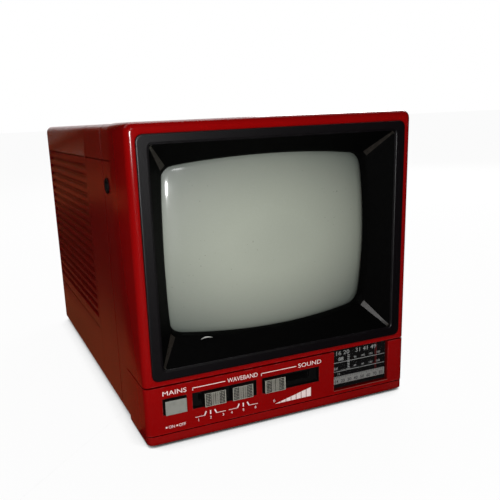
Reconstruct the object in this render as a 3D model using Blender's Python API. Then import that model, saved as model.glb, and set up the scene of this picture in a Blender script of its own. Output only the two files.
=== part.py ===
"""A small red portable television with a built-in radio, as an assembly of separate pieces.

Sizes are in millimetres in the set's own coordinates: x to the viewer's right, y back from the
front face, z up from the surface it stands on. Every vertex is turned into metres, and an empty
shifts the whole set so that the world origin is the middle of its footprint.
"""

import math

import bmesh
import bpy
from mathutils import Matrix, Vector

MM = 0.001

# Cabinet
HALF_WIDTH = 73.0
HEIGHT = 149.0
DEPTH = 230.0
BASE = 1.5
WALL = 2.6
FIT = 0.3
OVERCUT = 1.0
TOP_RADIUS = 4.0
BASE_RADIUS = 2.8
LEAST_RADIUS = 0.5
FRONT_RADIUS = 3.0
BACK_RADIUS = 4.0
ARC_STEPS = 4
SEAM_BEVEL = 0.4
FRAME_LOW = 30.35
FRAME_DEPTH = 30.7
LIP_DEPTH = 2.8
PANEL_LOW = 6.1
PANEL_TOP = 29.95
PANEL_THICK = 2.5
CHIN_TOP = 5.7
STEP_IN = 0.3
MID_START = 31.0
MID_END = 87.6
BAND_GROOVE_Y = 47.5
BAND_GROOVE_WIDTH = 0.9
BAND_GROOVE_DEPTH = 0.6
COVER_START = 87.9
COVER_COLLAR = 3.6
REAR_COLLAR = 4.6
COVER_HALF = HALF_WIDTH - STEP_IN
COVER_TOP = HEIGHT - STEP_IN

# Side ribs: each groove is (height, half mouth, half floor, depth)
RIB_COUNT = 17
RIB_TOP = 126.6
RIB_PITCH = 5.35
RIB_MOUTH = 1.7
RIB_FLOOR = 0.35
RIB_DEPTH = 1.1
LINE_MOUTH = 0.4
LINE_FLOOR = 0.2
LINE_DEPTH = 0.4
UPPER_LINE_Z = 132.0
LOWER_LINE_Z = 33.4
COVER_WALL = WALL + RIB_DEPTH

# Screen surround and picture tube
SCREEN_Z = 89.25
MASK_HALF = 68.2
MASK_LOW = 33.5
MASK_TOP = 143.5
MASK_RADIUS = 3.5
RIM_PROUD = 0.8
RIDGE_HALF = 62.9
RIDGE_LOW = 38.3
RIDGE_TOP = 139.4
RIDGE_RADIUS = 2.0
RIDGE_STEP = 0.6
MASK_WALL = 2.0
MASK_BACK = 4.5
OPENING_HALF_X = 55.5
OPENING_HALF_Z = 42.9
OPENING_POWER = 5.6
FACE_APEX = 9.0
FACE_CURVE = 260.0
GLASS_HALF_X = 61.0
GLASS_HALF_Z = 49.0
GLASS_POWER = 5.0
GLASS_WALL = 4.0
FACE_BACK = 28.0
FACE_SHARES = (0.94, 0.75, 0.5, 0.25)
LOOP_POINTS = 40
CORNER_CROWDING = 0.17
NECK_RADIUS = 10.5
NECK_WALL = 2.0
NECK_END = 186.0
# Funnel stations behind the face: (y, half x, half z, squareness)
FUNNEL_STATIONS = (
    (28.3, 61.0, 49.0, 5.0),
    (34.0, 60.0, 48.0, 4.8),
    (52.0, 47.5, 39.0, 3.6),
    (76.0, 29.0, 25.5, 2.7),
    (94.0, 16.0, 15.2, 2.1),
    (106.0, NECK_RADIUS, NECK_RADIUS, 2.0),
    (NECK_END, NECK_RADIUS, NECK_RADIUS, 2.0),
)
POST_X = 64.5
POST_Z = 51.0
POST_RADIUS = 3.2
POST_START = 2.5
POST_END = 22.0
SCREW_PILOT = 1.6
PILOT_DEPTH = 14.0
EAR_INNER = (52.5, 44.5)
EAR_OUTER = (68.3, 55.0)
EAR_THICK = 1.6
BAND_GAP = 0.6
BAND_THICK = 1.6
BAND_DEPTH = 10.0

# Front controls
CONTROL_Z = 19.8
OPENING_HIGH = 8.2
PROUD = 2.2
POWER_X = -58.6
POWER_SIZE = (10.5, 7.0)
POWER_OPENING = 12.0
POWER_CAP_BACK = 0.5
SELECTOR_SLOT = (-49.8, -16.0)
VOLUME_SLOT = (-12.9, 19.7)
KNOB_WIDE = 11.0
VOLUME_WIDE = 11.5
KNOB_HIGH = 7.0
KNOB_BACK = 2.3
KNOB_BEVEL = 0.5
STEM_HALF = 1.5
STEM_END = 9.5
BAND_X = -38.8
BAND_TRAVEL = (-5.0, 0.0)
RANGE_X = -24.3
RANGE_TRAVEL = (-2.4, 2.4)
VOLUME_X = -6.6
VOLUME_TRAVEL = (0.0, 20.0)
SLIT_PLAY = 0.5
BACKING = ((-67.0, 2.8, 9.0), (24.0, 4.0, 25.8))
SWITCH_FRONT = 4.3
SWITCH_BACK = 15.7
SWITCH_LOW = 13.5
SWITCH_TOP = 25.9
POCKET_DEPTH = 8.0
CONTROL_BOARD = ((-66.0, 16.0, 8.0), (24.0, 17.6, 29.6))
BOARD_POSTS_X = (-60.0, -32.0, 10.0)
BOARD_POST_SIZE = (3.0, 2.8)
BOARD_POST_Z = 27.8

# Dial and tuning drive
DIAL_LOW = 8.2
DIAL_X = (28.7, 62.6)
LENS_Y = (1.2, 2.4)
PLATE_Y = (4.6, 5.6)
PLATE_X = (27.0, 66.0)
PLATE_Z = (7.2, 29.9)
CORD_Z = 16.7
PLATE_SLIT_X = (30.0, 62.0)
PLATE_SLIT_HALF = 0.8
POINTER_X = 57.4
POINTER_HALF = 0.4
POINTER_Z = (9.5, 29.0)
POINTER_Y = (3.3, 4.1)
CORD_RADIUS = 0.4
CORD_GAP = 0.3
RUN_Y = 10.0
IDLER_X = (31.0, 63.0)
IDLER_RADIUS = 2.2
IDLER_FLANGE = 3.8
IDLER_BORE = 1.3
IDLER_PIN = 1.0
DRUM_RADIUS = 8.0
DRUM_FLANGE = 10.0
WHEEL_X = 56.0
WHEEL_Y = 63.0
WHEEL_RADIUS = 20.0
WHEEL_Z = (20.0, 27.0)
WHEEL_EDGE = 0.6
SHAFT_RADIUS = 3.0
SHAFT_Z = (8.0, 28.0)
SPOOL_Z = (15.0, 15.6, 17.8, 18.4)
BRACKET_PLATE = ((27.0, 9.0, 12.2), (67.0, 16.5, 13.4))
BRACKET_FOOT = ((40.0, 9.0, 6.0), (54.0, 16.5, 12.6))
CAPACITOR = ((45.0, 52.0, 4.4), (67.0, 74.0, 13.6))
CAPACITOR_POCKET = 7.5
WHEEL_SLOT_Y = (46.0, 80.0)
WHEEL_SLOT_CLEAR = 0.6

# Electronics inside
MAIN_BOARD = ((-56.0, 95.0, 12.0), (56.0, 222.0, 13.6))
RAIL_X = (50.0, 54.0)
RAIL_Y = (100.0, 220.0)
FLYBACK_BASE = ((18.0, 168.0, 13.9), (48.0, 204.0, 24.0))
FLYBACK_COIL = (33.0, 186.0, 13.5)
FLYBACK_TOP = 58.0
TUNER = ((-54.0, 152.0, 13.9), (-22.0, 214.0, 44.0))
TUNER_LID = 1.2
TUNER_LID_DROP = 6.0
HEAT_SINK = ((-18.0, 207.0, 13.9), (12.0, 220.0, 48.0))
FIN_COUNT = 5
FIN_THICK = 1.6
FILTER_CAP = (-38.0, 122.0, 11.0)
FILTER_CAP_Z = (13.9, 50.0)
YOKE_PROFILE = (
    (18.8, 96.0), (34.0, 96.0), (36.0, 99.0), (33.0, 120.0), (22.0, 132.0), (11.3, 132.0), (11.3, 108.0),
)
BASE_PROFILE = ((0.0, 186.4), (10.4, 186.4), (10.4, 195.0), (3.0, 195.6), (3.0, 199.0), (0.0, 199.0))
SOCKET_PROFILE = ((3.6, 196.2), (13.0, 196.2), (14.0, 197.2), (14.0, 202.4), (3.6, 202.4))
SOCKET_BOARD_HALF = 20.0
SOCKET_BOARD_Y = (202.0, 203.6)
SOCKET_HOLE = 3.6
ANODE_Y = 66.0
ANODE_Z = 120.4
ANODE_TILT = -29.4
ANODE_PROFILE = ((0.0, 0.6), (10.0, 0.6), (9.0, 2.4), (4.5, 4.0), (4.5, 7.0), (0.0, 7.0))
LEAD_RADIUS = 1.6
LEAD_ROUTE = (
    (0.0, 69.8, 127.1), (0.0, 73.0, 132.6), (4.0, 84.0, 138.0), (10.0, 104.0, 136.0),
    (18.0, 126.0, 126.0), (25.0, 146.0, 110.0), (31.0, 164.0, 92.0), (33.0, 178.0, 76.0),
    (33.0, 185.0, 66.0), (33.0, 186.0, 58.8),
)
LEAD_POINTS = 26
ROD_Y = 212.0
ROD_Z = 133.0
ROD_RADIUS = 5.0
ROD_HALF = 55.0
HANGER_X = (-40.0, 40.0)
HANGER_HALF = 2.0
HANGER_WIDE = 8.0
HANGER_LOW = 126.0
SPEAKER_Y = 150.0
SPEAKER_Z = 84.0
BASKET_PROFILE = (
    (0.0, 44.0), (15.0, 44.0), (15.0, 54.0), (28.0, 64.0), (30.0, 67.0), (30.0, 68.6),
    (27.0, 68.6), (26.4, 65.2), (11.0, 55.4), (0.0, 55.4),
)
CONE_PROFILE = ((0.0, 56.2), (8.0, 56.2), (26.0, 66.2), (26.0, 67.0), (7.6, 57.2), (0.0, 57.2))
SPEAKER_SLOTS = range(5, 13)
SPEAKER_SLOT_HALF = 22.0
SPEAKER_SLOT_HIGH = 2.2

# Sockets, rear knobs, vents, screws and feet
JACK_Y = 40.1
JACK_Z = 120.1
JACK_HOLE = 3.35
JACK_BODY = ((-69.7, 34.9, 115.1), (-59.6, 45.3, 125.1))
JACK_BUSH = 2.9
JACK_BORE = 1.8
JACK_NOSE = -71.6
JACK_BORE_END = -60.6
INLET_X = 45.0
INLET_Z = 28.0
INLET_HOLE = 5.0
INLET_HALF = 6.5
INLET_BORE = 4.1
INLET_Y = (214.0, 225.9)
INLET_PROFILE = (
    (0.0, 215.0), (4.6, 215.0), (4.6, 228.4), (3.0, 228.4), (3.0, 217.5), (1.0, 217.5),
    (1.0, 226.0), (0.0, 226.6),
)
REAR_KNOBS = (("brightness", -45.0), ("contrast", -20.0), ("hold", 5.0))
REAR_KNOB_Z = 62.0
KNOB_HOLE = 3.6
KNOB_PROFILE = (
    (0.0, 218.0), (3.0, 218.0), (3.0, 230.6), (6.2, 230.6), (6.2, 233.4), (5.4, 234.6), (0.0, 234.6),
)
POT_PROFILE = ((0.0, 210.0), (8.0, 210.0), (8.0, 225.9), (3.4, 225.9), (3.4, 217.0), (0.0, 217.0))
TOP_VENTS_X = range(-36, 37, 9)
TOP_VENTS_Y = (140.0, 196.0)
BACK_VENTS_Z = (84.0, 92.0, 100.0, 108.0, 116.0)
BACK_VENTS_X = (-40.0, 28.0)
VENT_WIDE = 3.0
COVER_SCREW_X = 64.5
COVER_SCREW_Z = 13.0
WELL_RADIUS = 5.6
WELL_BORE = 3.9
WELL_FLOOR = (92.0, 96.0)
BOSS_Y = (75.5, 87.3)
BOSS_HALF = 5.0
SCREW_PROFILE = (
    (0.0, 78.0), (1.3, 79.0), (1.3, 96.3), (3.4, 96.3), (3.4, 98.0), (2.4, 98.9), (0.0, 98.9),
)
HOOK_Z = 140.0
FOOT_X = 58.0
FOOT_Y = (18.0, 204.0)
FOOT_PROFILE = ((0.0, 0.0), (5.4, 0.0), (6.0, 0.5), (6.0, 1.2), (0.0, 1.2))

# Rod antenna, folded along the back
MAST_X = 50.0
MAST_Y = 239.0
MAST_Z = 134.0
MAST_BRACKET = ((43.0, 230.3, 127.0), (57.0, 233.2, 141.0))
MAST_PIN = 2.0
MAST_PIN_END = 235.3
SWIVEL_Y = (233.5, 235.6)
SWIVEL_RADIUS = 7.0
CHEEK_HALF = 4.0
CHEEK_Z = (3.4, 5.4)
CHEEK_END = 242.2
HINGE_PIN = 1.0
# Nested tubes: (radius, bore, near end x, far end x)
MAST_TUBES = ((3.0, 2.5, 44.5, -48.0), (2.2, 1.75, 43.5, -49.5), (1.45, 1.0, 43.0, -51.0))
TIP_PROFILE = (
    (0.0, 42.5), (0.7, 42.5), (0.7, -52.5), (2.4, -53.0), (2.4, -57.0), (1.6, -58.0), (0.0, -58.0),
)

# The footprint's middle, which becomes the world origin
MIDDLE_X = (WHEEL_X + WHEEL_RADIUS - HALF_WIDTH) / 2
MIDDLE_Y = (CHEEK_END - PROUD) / 2

for old in list(bpy.data.objects):
    bpy.data.objects.remove(old)

SET = bpy.data.objects.new("set", None)
SET.location = Vector((-MIDDLE_X, -MIDDLE_Y, 0.0)) * MM
bpy.context.scene.collection.objects.link(SET)


def finish(name, colour, roughness, metallic=0.0):
    """A plain shader of one colour."""
    material = bpy.data.materials.new(name)
    material.use_nodes = True
    shader = material.node_tree.nodes["Principled BSDF"]
    shader.inputs["Base Color"].default_value = (*colour, 1.0)
    shader.inputs["Roughness"].default_value = roughness
    shader.inputs["Metallic"].default_value = metallic
    return material


RED = (0.24, 0.004, 0.004)
BLACK = (0.012, 0.012, 0.013)
GREY = (0.30, 0.29, 0.26)
GLASS = (0.30, 0.33, 0.29)
GRAPHITE = (0.03, 0.03, 0.035)
STEEL = (0.55, 0.55, 0.53)
BOARD = (0.20, 0.11, 0.04)
FERRITE = (0.06, 0.05, 0.05)


def point(x, y, z):
    return Vector((x, y, z)) * MM


def place(axis, a, b, along):
    """A point from two coordinates across an axis and one along it."""
    return {"X": (along, a, b), "Y": (a, along, b), "Z": (a, b, along)}[axis]


def skin(rings, wrap=False):
    """Joins rings of points into one closed surface, capped at its ends or wrapped round."""
    bm = bmesh.new()
    loops = [[bm.verts.new(point(*p)) for p in ring] for ring in rings]
    pairs = list(zip(loops, loops[1:]))
    if wrap:
        pairs.append((loops[-1], loops[0]))
    for first, second in pairs:
        count = max(len(first), len(second))
        for i in range(count):
            j = (i + 1) % count
            near = [first[i % len(first)], first[j % len(first)]]
            far = [second[j % len(second)], second[i % len(second)]]
            bm.faces.new(list(dict.fromkeys(near + far)))
    if not wrap:
        for end in (loops[0], loops[-1]):
            if len(end) > 1:
                bm.faces.new(end)
    return bm


def turned(profile, axis, centre=(0.0, 0.0), steps=16):
    """Turns (radius, along) points about an axis; a profile off the axis at both ends is a ring."""
    rings = []
    for radius, along in profile:
        angles = [2 * math.pi * i / steps for i in range(steps)] if radius else [0.0]
        spokes = [(centre[0] + radius * math.cos(a), centre[1] + radius * math.sin(a)) for a in angles]
        rings.append([place(axis, a, b, along) for a, b in spokes])
    return skin(rings, wrap=bool(profile[0][0] and profile[-1][0]))


def rod(axis, centre, radius, start, end, steps=16):
    """A plain round bar."""
    return turned(((0.0, start), (radius, start), (radius, end), (0.0, end)), axis, centre, steps)


def slab(outline, axis, start, end):
    """An outline given across an axis, extruded along it."""
    return skin([[place(axis, a, b, along) for a, b in outline] for along in (start, end)])


def around(middle, half):
    """The span a half-width to each side of a middle."""
    return (middle - half, middle + half)


def block(xs, ys, zs):
    """Opposite corners of a box, from its spans along x, y and z."""
    return tuple(zip(sorted(xs), sorted(ys), sorted(zs)))


def boxes(*corner_pairs):
    """Boxes between pairs of opposite corners, in one mesh."""
    bm = bmesh.new()
    for low, high in corner_pairs:
        middle = (Vector(low) + Vector(high)) / 2 * MM
        size = (Vector(high) - Vector(low)) * MM
        bmesh.ops.create_cube(bm, matrix=Matrix.Translation(middle) @ Matrix.Diagonal((*size, 1.0)))
    return bm


def joined(*meshes):
    """Several meshes put into one, for a cutter of many bodies."""
    whole = bmesh.new()
    for bm in meshes:
        carrier = bpy.data.meshes.new("carrier")
        bm.to_mesh(carrier)
        bm.free()
        whole.from_mesh(carrier)
        bpy.data.meshes.remove(carrier)
    return whole


def add(name, bm, material=None, pivot=(0.0, 0.0, 0.0)):
    """Makes a piece from a mesh in set coordinates, with the piece's origin on pivot."""
    bmesh.ops.recalc_face_normals(bm, faces=bm.faces)
    bmesh.ops.translate(bm, verts=bm.verts, vec=-point(*pivot))
    mesh = bpy.data.meshes.new(name)
    bm.to_mesh(mesh)
    bm.free()
    mesh.shade_smooth()
    mesh.set_sharp_from_angle(angle=math.radians(35.0))
    piece = bpy.data.objects.new(name, mesh)
    piece.location = point(*pivot)
    piece.parent = SET
    bpy.context.scene.collection.objects.link(piece)
    if material:
        mesh.materials.append(material)
    return piece


def combine(piece, operation, bm):
    """Cuts a hidden mesh out of a piece, or joins it on."""
    tool = add(f"{piece.name}_{operation.lower()}_{len(piece.modifiers)}", bm)
    tool.hide_render = True
    tool.display_type = "WIRE"
    modifier = piece.modifiers.new(operation.title(), "BOOLEAN")
    modifier.operation = operation
    modifier.solver = "EXACT"
    modifier.object = tool


def cut(piece, bm):
    combine(piece, "DIFFERENCE", bm)


def join(piece, bm):
    combine(piece, "UNION", bm)


def soften(piece, width, segments=2):
    """Rounds a piece's sharp edges."""
    modifier = piece.modifiers.new("Edges", "BEVEL")
    modifier.width = width * MM
    modifier.segments = segments
    modifier.limit_method = "ANGLE"


def arc(centre, radius, start, end, steps=ARC_STEPS):
    """Points on a circle between two angles in degrees."""
    angles = [math.radians(start + (end - start) * i / steps) for i in range(steps + 1)]
    return [(centre[0] + radius * math.cos(a), centre[1] + radius * math.sin(a)) for a in angles]


def section(half, low, high, low_radius, high_radius, grooves=(), share=1.0):
    """A rounded rectangle in x and z, mirrored, with grooves of a share of their depth in both sides."""
    right = arc((half - low_radius, low + low_radius), low_radius, -90.0, 0.0)
    for z, mouth, floor, depth in grooves:
        deep = half - depth * share
        right += [(half, z - mouth), (deep, z - floor), (deep, z + floor), (half, z + mouth)]
    right += arc((half - high_radius, high - high_radius), high_radius, 0.0, 90.0)
    return right + [(-x, z) for x, z in reversed(right)]


def at(y, outline):
    return [(x, y, z) for x, z in outline]


def quarter_round(radius, steps=3):
    """Inset and distance along of points round an edge, from the end face to the side."""
    angles = [math.radians(90.0 * i / steps) for i in range(steps + 1)]
    return [(radius * (1 - math.sin(a)), radius * (1 - math.cos(a))) for a in angles]


def squircle(half_x, half_z, power):
    """A loop round the screen's centre, from an ellipse at power 2 to nearly a rectangle."""
    loop = []
    for i in range(LOOP_POINTS):
        angle = 2 * math.pi * i / LOOP_POINTS
        angle += CORNER_CROWDING * math.sin(4 * angle)
        c = math.cos(angle)
        s = math.sin(angle)
        reach = (abs(c) ** power + abs(s) ** power) ** (-1 / power)
        loop.append((half_x * c * reach, SCREEN_Z + half_z * s * reach))
    return loop


def along_rays(half, low, high, radius):
    """A rounded rectangle with its points on the same rays as a squircle's."""
    middle = (low + high) / 2
    tall = (high - low) / 2
    loop = []
    for x, z in squircle(half, tall, 2.0):
        z -= SCREEN_Z
        reach = 1 / max(abs(x) / half, abs(z) / tall)
        x, z = x * reach, z * reach
        over = Vector((abs(x) - half + radius, abs(z) - tall + radius))
        if over.x > 0 and over.y > 0 and over.length > radius:
            over *= radius / over.length
            x = math.copysign(half - radius + over.x, x)
            z = math.copysign(tall - radius + over.y, z)
        loop.append((x, middle + z))
    return loop


def face_depth(x, z):
    """How far back the tube's domed face lies."""
    return FACE_APEX + (x * x + (z - SCREEN_Z) ** 2) / (2 * FACE_CURVE)


def on_face(outline, behind):
    return [(x, face_depth(x, z) + behind, z) for x, z in outline]


def corners(x, z):
    """The four places mirrored about the screen's centre."""
    return [(side * x, SCREEN_Z + up * z) for side in (-1, 1) for up in (-1, 1)]


def front_frame(material):
    def outer(inset):
        low = FRAME_LOW + SEAM_BEVEL * inset / FRONT_RADIUS
        return section(HALF_WIDTH - inset, low, HEIGHT - inset, SEAM_BEVEL, TOP_RADIUS - inset)

    opening = section(MASK_HALF + FIT, MASK_LOW - FIT, MASK_TOP + FIT, MASK_RADIUS, MASK_RADIUS)
    inside = section(HALF_WIDTH - WALL, FRAME_LOW + WALL, HEIGHT - WALL, TOP_RADIUS, TOP_RADIUS)
    rings = [at(y, outer(inset)) for inset, y in quarter_round(FRONT_RADIUS)]
    rings += [at(FRAME_DEPTH, outer(0.0)), at(FRAME_DEPTH, inside), at(LIP_DEPTH + FIT, inside)]
    rings += [at(LIP_DEPTH, opening), at(0.0, opening)]
    add("front_frame", skin(rings, wrap=True), material)


def plan_with_round_front(half, back):
    """A plan outline in x and y whose two front corners are round."""
    left = arc((-half + FRONT_RADIUS, FRONT_RADIUS), FRONT_RADIUS, 180.0, 270.0)
    right = arc((half - FRONT_RADIUS, FRONT_RADIUS), FRONT_RADIUS, 270.0, 360.0)
    return [(-half, back), *left, *right, (half, back)]


def control_panel(material):
    inner = HALF_WIDTH - WALL
    outline = plan_with_round_front(HALF_WIDTH, FRAME_DEPTH)
    outline += [(inner, FRAME_DEPTH), (inner, PANEL_THICK), (-inner, PANEL_THICK), (-inner, FRAME_DEPTH)]
    panel = add("control_panel", slab(outline, "Z", PANEL_LOW, PANEL_TOP), material)
    through = (-OVERCUT, PANEL_THICK + OVERCUT)
    spans = (around(POWER_X, POWER_OPENING / 2), SELECTOR_SLOT, VOLUME_SLOT)
    holes = [block(span, through, around(CONTROL_Z, OPENING_HIGH / 2)) for span in spans]
    holes.append(block(DIAL_X, through, (DIAL_LOW, PANEL_TOP + OVERCUT)))
    cut(panel, boxes(*holes))
    wide, tall = BOARD_POST_SIZE
    reach = (PANEL_THICK / 2, SWITCH_BACK)
    heights = around(BOARD_POST_Z, tall / 2)
    join(panel, boxes(*[block(around(x, wide / 2), reach, heights) for x in BOARD_POSTS_X]))


def cover_screw_spots():
    return [(side * COVER_SCREW_X, COVER_SCREW_Z) for side in (-1, 1)]


def mid_cabinet(material):
    line = ((UPPER_LINE_Z, LINE_MOUTH, LINE_FLOOR, LINE_DEPTH),)

    def outer(inset, share=1.0):
        half = COVER_HALF - inset
        return section(half, BASE + inset, COVER_TOP - inset, BASE_RADIUS, TOP_RADIUS, line, share)

    mouth = around(BAND_GROOVE_Y, BAND_GROOVE_WIDTH / 2)
    floor = around(BAND_GROOVE_Y, BAND_GROOVE_WIDTH / 4)
    rings = [at(MID_START, outer(0.0)), at(mouth[0], outer(0.0))]
    rings += [at(y, outer(BAND_GROOVE_DEPTH)) for y in floor]
    rings.append(at(mouth[1], outer(0.0)))
    rings += [at(MID_END, outer(0.0)), at(MID_END, outer(WALL, 0.0)), at(MID_START, outer(WALL, 0.0))]
    cabinet = add("mid_cabinet", skin(rings, wrap=True), material)

    join(cabinet, slab(plan_with_round_front(COVER_HALF, MID_START + OVERCUT), "Z", BASE, CHIN_TOP))
    bosses = []
    for side in (-1, 1):
        xs = (side * (COVER_SCREW_X - BOSS_HALF), side * (COVER_HALF - WALL / 2))
        bosses += [block(xs, BOSS_Y, around(z, BOSS_HALF)) for z in (COVER_SCREW_Z, HOOK_Z)]
    join(cabinet, boxes(*bosses))
    cut(cabinet, rod("X", (JACK_Y, JACK_Z), JACK_HOLE, -HALF_WIDTH - OVERCUT, -HALF_WIDTH + 2 * WALL))
    slot_z = (WHEEL_Z[0] - WHEEL_SLOT_CLEAR, WHEEL_Z[1] + WHEEL_SLOT_CLEAR)
    cut(cabinet, boxes(block((COVER_HALF - 2 * WALL, HALF_WIDTH + OVERCUT), WHEEL_SLOT_Y, slot_z)))
    bored = (BOSS_Y[0] + OVERCUT, BOSS_Y[1] + OVERCUT)
    cut(cabinet, joined(*[rod("Y", spot, SCREW_PILOT, *bored) for spot in cover_screw_spots()]))


def rear_cover(material):
    grooves = [(LOWER_LINE_Z, LINE_MOUTH, LINE_FLOOR, LINE_DEPTH)]
    heights = [RIB_TOP - RIB_PITCH * k for k in range(RIB_COUNT)]
    grooves += [(z, RIB_MOUTH, RIB_FLOOR, RIB_DEPTH) for z in reversed(heights)]
    grooves.append((UPPER_LINE_Z, LINE_MOUTH, LINE_FLOOR, LINE_DEPTH))

    def outer(inset, share):
        radii = (max(BASE_RADIUS - inset, LEAST_RADIUS), max(TOP_RADIUS - inset, LEAST_RADIUS))
        return section(COVER_HALF - inset, BASE + inset, COVER_TOP - inset, *radii, grooves, share)

    inside = outer(COVER_WALL, 0.0)
    ribs_start = COVER_START + COVER_COLLAR
    rings = [at(DEPTH - WALL, inside), at(COVER_START, inside), at(COVER_START, outer(0.0, 0.0))]
    rings += [at(ribs_start, outer(0.0, 0.0)), at(ribs_start + RIB_DEPTH, outer(0.0, 1.0))]
    rings += [at(DEPTH - REAR_COLLAR - RIB_DEPTH, outer(0.0, 1.0)), at(DEPTH - REAR_COLLAR, outer(0.0, 0.0))]
    rings += [at(DEPTH - y, outer(inset, 0.0)) for inset, y in reversed(quarter_round(BACK_RADIUS))]
    cover = add("rear_cover", skin(rings), material)

    floor = BASE + COVER_WALL
    top = COVER_TOP - COVER_WALL
    well_y = (WELL_FLOOR[0], DEPTH - OVERCUT)
    join(cover, joined(*[rod("Y", spot, WELL_RADIUS, *well_y) for spot in cover_screw_spots()]))
    rail_z = (floor - OVERCUT, MAIN_BOARD[0][2] - FIT)
    carriers = [block([side * x for x in RAIL_X], RAIL_Y, rail_z) for side in (-1, 1)]
    hanger_z = (HANGER_LOW, top + OVERCUT)
    carriers += [block(around(x, HANGER_HALF), around(ROD_Y, HANGER_WIDE), hanger_z) for x in HANGER_X]
    join(cover, boxes(*carriers))

    outside = DEPTH + OVERCUT
    through = (DEPTH - 2 * WALL, outside)
    start, seat = WELL_FLOOR
    well = ((0.0, start - OVERCUT), (SCREW_PILOT, start - OVERCUT), (SCREW_PILOT, seat), (WELL_BORE, seat))
    well += ((WELL_BORE, outside), (0.0, outside))
    bores = [turned(well, "Y", spot) for spot in cover_screw_spots()]
    bores += [rod("Y", (x, REAR_KNOB_Z), KNOB_HOLE, *through) for _, x in REAR_KNOBS]
    bores.append(rod("Y", (INLET_X, INLET_Z), INLET_HOLE, *through))
    bores.append(rod("X", (ROD_Y, ROD_Z), ROD_RADIUS + FIT, -ROD_HALF, ROD_HALF))
    cut(cover, joined(*bores))

    half = VENT_WIDE / 2
    slots = [block(around(x, half), TOP_VENTS_Y, (top - OVERCUT, HEIGHT + OVERCUT)) for x in TOP_VENTS_X]
    slots += [block(BACK_VENTS_X, through, around(z, half)) for z in BACK_VENTS_Z]
    right_wall = (COVER_HALF - 2 * COVER_WALL, HALF_WIDTH + OVERCUT)
    spread = around(SPEAKER_Y, SPEAKER_SLOT_HALF)
    slots += [block(right_wall, spread, around(heights[k], SPEAKER_SLOT_HIGH / 2)) for k in SPEAKER_SLOTS]
    cut(cover, boxes(*slots))


def screen_mask(material):
    def rim(inset):
        radius = max(MASK_RADIUS - inset, LEAST_RADIUS)
        return along_rays(MASK_HALF - inset, MASK_LOW + inset, MASK_TOP - inset, radius)

    def ridge(inset):
        return along_rays(RIDGE_HALF - inset, RIDGE_LOW + inset, RIDGE_TOP - inset, RIDGE_RADIUS)

    opening = squircle(OPENING_HALF_X, OPENING_HALF_Z, OPENING_POWER)
    wider = squircle(OPENING_HALF_X + MASK_WALL, OPENING_HALF_Z + MASK_WALL, OPENING_POWER)
    rings = [at(MASK_BACK, rim(0.0))]
    rings += [at(y - RIM_PROUD, rim(inset)) for inset, y in reversed(quarter_round(RIM_PROUD, 2))]
    rings += [at(-RIM_PROUD, ridge(0.0)), at(RIDGE_STEP - RIM_PROUD, ridge(RIDGE_STEP / 2))]
    rings += [on_face(opening, -MASK_WALL), on_face(opening, -FIT), on_face(wider, -FIT)]
    inside = rim(MASK_WALL)
    rings += [at(MASK_WALL + OVERCUT, ridge(-OVERCUT)), at(MASK_WALL, inside), at(MASK_BACK, inside)]
    mask = add("screen_mask", skin(rings, wrap=True), material)
    spots = corners(POST_X, POST_Z)
    join(mask, joined(*[rod("Y", spot, POST_RADIUS, POST_START, POST_END) for spot in spots]))
    pilot = (POST_END - PILOT_DEPTH, POST_END + OVERCUT)
    cut(mask, joined(*[rod("Y", spot, SCREW_PILOT, *pilot) for spot in spots]))


def tube_face(material):
    def loop(share):
        return squircle(GLASS_HALF_X * share, GLASS_HALF_Z * share, GLASS_POWER)

    rings = [[(0.0, FACE_APEX, SCREEN_Z)]]
    rings += [on_face(loop(share), 0.0) for share in reversed(FACE_SHARES)]
    rings += [on_face(loop(1.0), MASK_WALL), at(FACE_BACK, loop(1.0))]
    inside = squircle(GLASS_HALF_X - GLASS_WALL, GLASS_HALF_Z - GLASS_WALL, GLASS_POWER)
    rings += [at(FACE_BACK, inside), on_face(inside, GLASS_WALL)]
    rings += [on_face(loop(share), GLASS_WALL) for share in FACE_SHARES[1:]]
    rings.append([(0.0, FACE_APEX + GLASS_WALL, SCREEN_Z)])
    add("tube_face", skin(rings), material)


def tube_funnel(material):
    rings = [at(y, squircle(x, z, power)) for y, x, z, power in FUNNEL_STATIONS]
    for y, x, z, power in reversed(FUNNEL_STATIONS):
        rings.append(at(y, squircle(x - NECK_WALL, z - NECK_WALL, power)))
    add("tube_funnel", skin(rings, wrap=True), material)


def tube_band(material):
    def loop(out):
        return squircle(GLASS_HALF_X + out, GLASS_HALF_Z + out, GLASS_POWER)

    outer = loop(BAND_GAP + BAND_THICK)
    inner = loop(BAND_GAP)
    start = POST_END + FIT
    end = start + BAND_DEPTH
    rings = [at(start, outer), at(end, outer), at(end, inner), at(start, inner)]
    band = add("tube_band", skin(rings, wrap=True), material)
    plate = (start, start + EAR_THICK)
    spans = zip(corners(*EAR_INNER), corners(*EAR_OUTER))
    join(band, boxes(*[block((x0, x1), plate, (z0, z1)) for (x0, z0), (x1, z1) in spans]))
    drilled = (start - OVERCUT, start + EAR_THICK + OVERCUT)
    cut(band, joined(*[rod("Y", spot, SCREW_PILOT, *drilled) for spot in corners(POST_X, POST_Z)]))


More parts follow.
